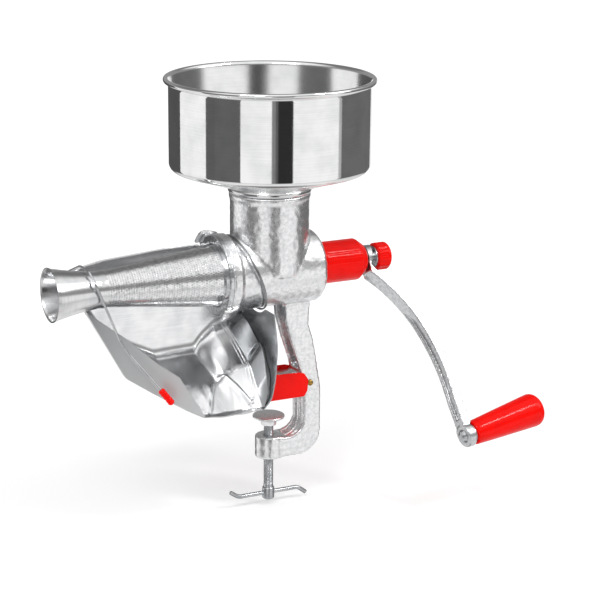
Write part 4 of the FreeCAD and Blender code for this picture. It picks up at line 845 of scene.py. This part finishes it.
def pressed(x, y):
    # height added to the floor: a rising curve at the back, a rib beside the spout, a gusset's crease and small dents
    back = 1.1 * np.clip(x + 28.4, 0, None) * np.clip((y + 46) / 14, 0, 1)
    lower = np.clip((-9 - y) / 7, 0, 1)
    rib = 2.0 * np.exp(-((x + 57 + (y + 13.5) * 0.68) / 1.8) ** 2) * lower
    crease = -1.3 * np.exp(-((x + 68 - (y + 13.5) * 0.58) / 1.6) ** 2) * lower
    inside = np.clip((x + 96) / 10, 0, 1) * np.clip((-40 - x) / 10, 0, 1) * lower
    dents = 0.32 * softNoise(np.stack([x * 1.9, y * 0.7, 0 * x], -1).reshape(-1, 3), 16.0, 11).reshape(x.shape)
    return back + rib + crease + dents * inside


def makeTray():
    nose, corner, end = tray["nose"], tray["corner"], tray["end"]
    table = np.linspace(nose, end, 262)
    lines, marks = trayLines(table)
    x = np.concatenate([
        np.linspace(nose, corner, tray["noseRows"]), np.linspace(corner, end, tray["spoutRows"])[1:]
    ])
    columns = lines.shape[1]
    floorLast = int(np.argmax(marks == 5))  # the bend at the near wall's foot starts here
    atCorner = np.stack([[np.interp(corner, table, lines[:, c, d]) for d in (0, 1)] for c in range(columns)])
    rise = np.clip((atCorner[:, 1] - atCorner[floorLast, 1]) / (atCorner[-1, 1] - atCorner[floorLast, 1]), 0, 1)
    rise[:floorLast + 1] = 0
    atBack = np.array([np.interp(-22.0, table, lines[:, c, 1]) for c in range(columns)])
    stop = np.where(atBack > farEnd[0, 0], np.interp(atBack, farEnd[:, 0], farEnd[:, 1]), backX(atBack)) + 0.2
    # rows up to the corner lean towards the rim's end on the near wall; rows past it end on the back plate
    early = nose + (x[:, None] - nose) * (corner + (tray["rimEnd"] - corner) * rise - nose) / (corner - nose)
    late = corner + (x[:, None] - corner) * (stop - corner) / (end - corner)
    fullX = np.where(x[:, None] <= corner + 1e-6, early, late)
    y = np.stack([np.interp(fullX[:, c], table, lines[:, c, 0]) for c in range(columns)], 1)
    z = np.stack([np.interp(fullX[:, c], table, lines[:, c, 1]) for c in range(columns)], 1)
    onFloor = np.clip((marks - 0.5) / 2, 0, 1)[None] * (np.arange(columns) < floorLast)[None]
    z = z + pressed(fullX, y) * onFloor * np.clip((fullX - nose - 60) / 30, 0, 1)
    points = np.stack([fullX, y, z + axisHeight], 2)
    quads = gridQuads(len(x), columns, wrapColumns=False)
    row, column = quads[:, 0] // columns, quads[:, 0] % columns
    quads = quads[~((row >= tray["noseRows"] - 1) & (column >= floorLast))]
    # the lip: the floor carried on past the foot in a shallow curl with rounded corners
    foot = points[tray["noseRows"] - 1:, floorLast]
    keep = foot[:, 0] < -31
    foot = foot[keep]
    t = np.linspace(0, 1, 9)[None, :]
    run = (foot[:, 0] - foot[0, 0]) / (foot[-1, 0] - foot[0, 0])
    reach = 10.5 * np.clip(np.sin(np.pi * np.clip(run * 0.86 + 0.05, 0, 1)), 0, 1)[:, None] ** 0.35
    wave = 0.35 * np.sin(run * 17)[:, None] * t
    lip = np.stack([
        foot[:, :1] + 0 * t, foot[:, 1:2] - reach * t, foot[:, 2:] - 0.3 * np.sin(np.pi * t) + 0.5 * t ** 2 + wave,
    ], 2)
    lipQuads = gridQuads(len(foot), 9, wrapColumns=False) + points.shape[0] * columns
    allPoints = np.concatenate([points.reshape(-1, 3), lip.reshape(-1, 3)])
    piece = makeMesh("juiceTray", allPoints, np.concatenate([quads, lipQuads]), merge=True, turnOut=False)
    modified(piece, ("SOLIDIFY", {"thickness": tray["sheet"] * mm, "offset": 0.0, "use_even_offset": True}))
    # the far wall's rolled hem and the folded seam where the floor meets the back
    hem = tube("trayHem", points[::4, 0] + (0, 0.2, 0), 2, tray["hem"], 10, 2)
    middleRow = int(np.argmin(np.abs(x - tray["seam"])))
    seamSpots = points[middleRow, 16:floorLast:3] + (0, 0, 1.0)
    seam = tube("traySeam", seamSpots, 2, 1.0, 10, 2)
    second = tube("traySeamTwo", seamSpots + (-3.4, 0, -0.3), 2, 0.6, 10, 2)
    joined(piece, hem, seam, second)
    finishPiece(piece, looks["sheet"], "stand", ["drip_tray"], sharp=40)
    # the share of flat wall at each point, on the near side, from how squarely it faces sideways
    count = len(piece.data.vertices)
    normals, spots = np.empty(count * 3, np.float32), np.empty(count * 3, np.float32)
    piece.data.vertex_normals.foreach_get("vector", normals)
    piece.data.vertices.foreach_get("co", spots)
    share = np.clip((np.abs(normals[1::3]) - 0.66) / 0.16, 0, 1) * (spots[1::3] < 0.03)
    piece.data.attributes.new("wallShare", "FLOAT", "POINT").data.foreach_set("value", share)


def makeTrayBack():
    # a sheet bowed in side view along the back line, with a notch for the barrel
    rows, columns = 56, 48
    y = np.linspace(-tray["near"] + 0.5, tray["far"] - 0.6, columns)[None, :]
    inside = np.sqrt(np.clip(41.5 ** 2 - y ** 2, 0, None))
    topZ = -np.maximum(34.0, inside + 0.4)
    t = np.linspace(0, 1, rows)[:, None]
    z = topZ + (tray["lip"] + 0.3 - topZ) * t
    fine = np.linspace(tray["lip"], -30, 120)
    bowed = smoothAlong(backX(fine)[:, None], 9)[:, 0]
    x = np.interp(z, fine, bowed) + 0.75
    points = np.stack([x, y + 0 * z, z + axisHeight], 2)
    piece = makeMesh("trayBack", points.reshape(-1, 3), gridQuads(rows, columns, wrapColumns=False), turnOut=False)
    modified(piece, ("SOLIDIFY", {"thickness": tray["sheet"] * mm, "offset": 0.0}))
    return finishPiece(piece, looks["shaded"], "stand", ["tray_back"], sharp=40)


hoop = {"radius": 41.2, "width": 2.4, "sheet": 1.6, "place": -28.0, "tilt": 20.8}


def makeHoop():
    lean = math.radians(90 - hoop["tilt"])
    line = ((hoop["place"], 0, axisHeight), (math.sin(lean), 0, math.cos(lean)))
    inner, outer = hoop["radius"] - hoop["sheet"] / 2, hoop["radius"] + hoop["sheet"] / 2
    half = hoop["width"] / 2
    piece = turned("trayHoop", line, [(-half, inner), (-half, outer), (half, outer), (half, inner)], 0.7, 160)
    return finishPiece(piece, looks["strap"], "stand", ["tray_hanger_hoop"])


makeTray()
makeTrayBack()
makeHoop()
print("tray made")


# ---- latch ----
latch = {"wire": 1.2, "tipRadius": 3.5, "tipLength": 19.0, "rings": 5}


def makeLatch():
    nose, hinge = tray["nose"], tray["far"] + latch["wire"] + 1.3
    spots = np.array([
        (nose + 13, hinge, 6), (nose - 3, hinge, 6), (nose - 2, 9, 23), (nose - 0.5, -10, 22), (nose + 2, -22, 11.5),
        (-170.5, -21.5, -47.5), (-161, -25.5, -63.5), (-135, -37, -97.5),
    ]) + (0, 0, axisHeight)
    wire = tube("latchWire", spots, 3.5, latch["wire"], 16)
    finishPiece(wire, looks["wire"], "latch", ["latch_wire"])
    start, end = np.array((-135, -37, -97.5 + axisHeight)), np.array((-124.5, -41.5, -112 + axisHeight))
    length = latch["tipLength"]
    r = latch["tipRadius"]

    def ribs(s, angle, radius):
        fade = np.clip((s - 2.5) / 1.5, 0, 1) * np.clip((length - 2.5 - s) / 1.5, 0, 1)
        return -0.45 * (0.5 + 0.5 * np.cos(s / length * 2 * np.pi * latch["rings"])) * fade * (radius > 1)

    tip = turned("latchTip", (start, end - start), [
        (0, 0), (0, r - 1.2), (1.2, r), (length - 1.8, r), (length, r - 1.8), (length, 0),
    ], 0.8, 40, ribs, rings=0.5)
    finishPiece(tip, looks["red"], "latch", ["latch_tip"])


makeLatch()
print("latch made")


# ---- CAD nodes that stay as they are ----
kept = {
    "auger_screw": "cast", "auger_shaft": "zinc", "shaft_pin": "zinc", "pressure_spring": "zinc",
    "thrust_washer": "oiled", "knob_washer": "zinc", "grip_rivet": "zinc", "grip_washer": "zinc",
    "table_pad_screw": "brass", "shaft_seal": "rubber", "tray_knuckle": "sheet",
}
for node, look in kept.items():
    materials = frame["nodes"][node].data.materials
    materials.clear()
    materials.append(looks[look])


# ---- floor, surroundings and lamps ----
studio = {
    "floorDrop": 4.0,
    "diffuse": 0.72,
    # what polished metal sees round the object: (compass angle in degrees from +X, brightness)
    "bands": [
        (-180, 0.13), (-150, 1.0), (-114, 0.24), (-111, 0.12), (-107, 0.03), (-91.4, 1.0), (-33, 0.50), (-28.9, 0.15),
        (41, 0.9), (67.9, 0.09), (121.2, 1.0), (167, 0.12),
    ],
    # the table as metal sees it: (sine of the angle down, brightness), and where it takes over from the panels
    "table": [(0.38, 0.62), (0.60, 0.85), (0.83, 0.95), (0.92, 0.45), (1.0, 0.16)],
    "tableEdge": (0.36, 0.43),
    "dim": 0.3,
    "ceilingEdge": (0.05, 0.42),
}


def makeWorld():
    # white to the camera, even light for matt surfaces, and for metal upright panels between a lit table and ceiling
    world = bpy.data.worlds.new("studio")
    scene.world = world
    world.use_nodes = True
    tree = world.node_tree
    tree.nodes.clear()
    where = addNode(tree, "ShaderNodeTexCoord")
    split = addNode(tree, "ShaderNodeSeparateXYZ", links={"Vector": (where, "Generated")})
    compass = addNode(tree, "ShaderNodeMath", {"operation": "ARCTAN2"}, {0: (split, "Y"), 1: (split, "X")})
    share = addNode(tree, "ShaderNodeMapRange", {"From Min": -math.pi, "From Max": math.pi}, {"Value": (compass, 0)})
    panels = spread(tree, share, "Result", [((angle + 180) / 360, grey(level)) for angle, level in studio["bands"]])
    panels.color_ramp.interpolation = "CONSTANT"
    # the ceiling is lit on the camera's side and dark behind the object
    ceiling = addNode(
        tree, "ShaderNodeMapRange",
        {"From Min": studio["ceilingEdge"][0], "From Max": studio["ceilingEdge"][1], "To Min": 1.0, "To Max": 0.2},
        {"Value": (split, "Y")},
    )
    # above the panels the room is dim, up to the ceiling
    middle = addNode(tree, "ShaderNodeMapRange", {"From Min": -0.03, "From Max": 0.06}, {"Value": (split, "Z")})
    dim = addNode(
        tree, "ShaderNodeMix", {"data_type": "RGBA", 7: grey(studio["dim"])}, {0: (middle, "Result"), 6: (panels, "Color")}
    )
    high = addNode(tree, "ShaderNodeMapRange", {"From Min": 0.36, "From Max": 0.5}, {"Value": (split, "Z")})
    above = addNode(
        tree, "ShaderNodeMix", {"data_type": "RGBA"}, {0: (high, "Result"), 6: (dim, 2), 7: (ceiling, "Result")}
    )
    down = addNode(tree, "ShaderNodeMath", {"operation": "MULTIPLY", 1: -1.0}, {0: (split, "Z")})
    table = spread(tree, down, 0, [(depth, grey(level)) for depth, level in studio["table"]])
    low = addNode(
        tree, "ShaderNodeMapRange", {"From Min": studio["tableEdge"][0], "From Max": studio["tableEdge"][1]},
        {"Value": (down, 0)},
    )
    seenColour = addNode(
        tree, "ShaderNodeMix", {"data_type": "RGBA"}, {0: (low, "Result"), 6: (above, 2), 7: (table, "Color")}
    )
    ray = addNode(tree, "ShaderNodeLightPath")
    even = addNode(tree, "ShaderNodeBackground", {"Color": grey(1.0), "Strength": studio["diffuse"]})
    seen = addNode(tree, "ShaderNodeBackground", {"Strength": 1.0}, {"Color": (seenColour, 2)})
    white = addNode(tree, "ShaderNodeBackground", {"Color": grey(1.0), "Strength": 1.0})
    metal = addNode(tree, "ShaderNodeMixShader", links={0: (ray, "Is Glossy Ray"), 1: (even, 0), 2: (seen, 0)})
    view = addNode(tree, "ShaderNodeMixShader", links={0: (ray, "Is Camera Ray"), 1: (metal, 0), 2: (white, 0)})
    addNode(tree, "ShaderNodeOutputWorld", links={"Surface": (view, 0)})


def makeFloor():
    low = cadBox[0][2] - studio["floorDrop"] * mm
    mesh = bpy.data.meshes.new("floor")
    mesh.from_pydata([(-12, -12, low), (12, -12, low), (12, 12, low), (-12, 12, low)], [], [(0, 1, 2, 3)])
    floor = bpy.data.objects.new("floor", mesh)
    scene.collection.objects.link(floor)
    floor.visible_glossy = False  # metal sees the surroundings instead
    material = bpy.data.materials.new("paleFloor")
    material.use_nodes = True
    tree = material.node_tree
    tree.nodes.clear()
    ray = addNode(tree, "ShaderNodeLightPath")
    matt = addNode(tree, "ShaderNodeBsdfDiffuse", {"Color": grey(0.86)})
    # the floor fades to plain white away from the object
    place = addNode(tree, "ShaderNodeTexCoord")
    reach = addNode(tree, "ShaderNodeVectorMath", {"operation": "LENGTH"}, {0: (place, "Object")})
    fade = addNode(
        tree, "ShaderNodeMapRange", {"From Min": 0.2, "From Max": 0.9, "To Min": 0.24, "To Max": 0.42},
        {"Value": (reach, "Value")},
    )
    lift = addNode(tree, "ShaderNodeMath", {"operation": "MULTIPLY"}, {0: (ray, "Is Camera Ray"), 1: (fade, "Result")})
    glow = addNode(tree, "ShaderNodeEmission", {"Color": grey(1.0)}, {"Strength": (lift, 0)})
    both = addNode(tree, "ShaderNodeAddShader", links={0: (matt, 0), 1: (glow, 0)})
    addNode(tree, "ShaderNodeOutputMaterial", links={"Surface": (both, 0)})
    mesh.materials.append(material)


def makeLamp(name, place, aim, size, power):
    data = bpy.data.lights.new(name, "AREA")
    data.shape = "SQUARE"
    data.size = size
    data.energy = power
    lamp = bpy.data.objects.new(name, data)
    lamp.location = place
    lamp.rotation_mode = "QUATERNION"
    lamp.rotation_quaternion = (Vector(aim) - Vector(place)).to_track_quat("-Z", "Y")
    scene.collection.objects.link(lamp)


makeWorld()
makeFloor()
makeLamp("keyLamp", (-1.3, -1.2, 1.9), (0, 0, 0.12), 0.9, 16)
makeLamp("fillLamp", (1.5, -1.0, 1.2), (0, 0, 0.1), 0.9, 6)
makeLamp("glintLamp", (0.95, -1.15, 1.75), (0.1, 0, 0.12), 0.32, 7)
print("studio made")
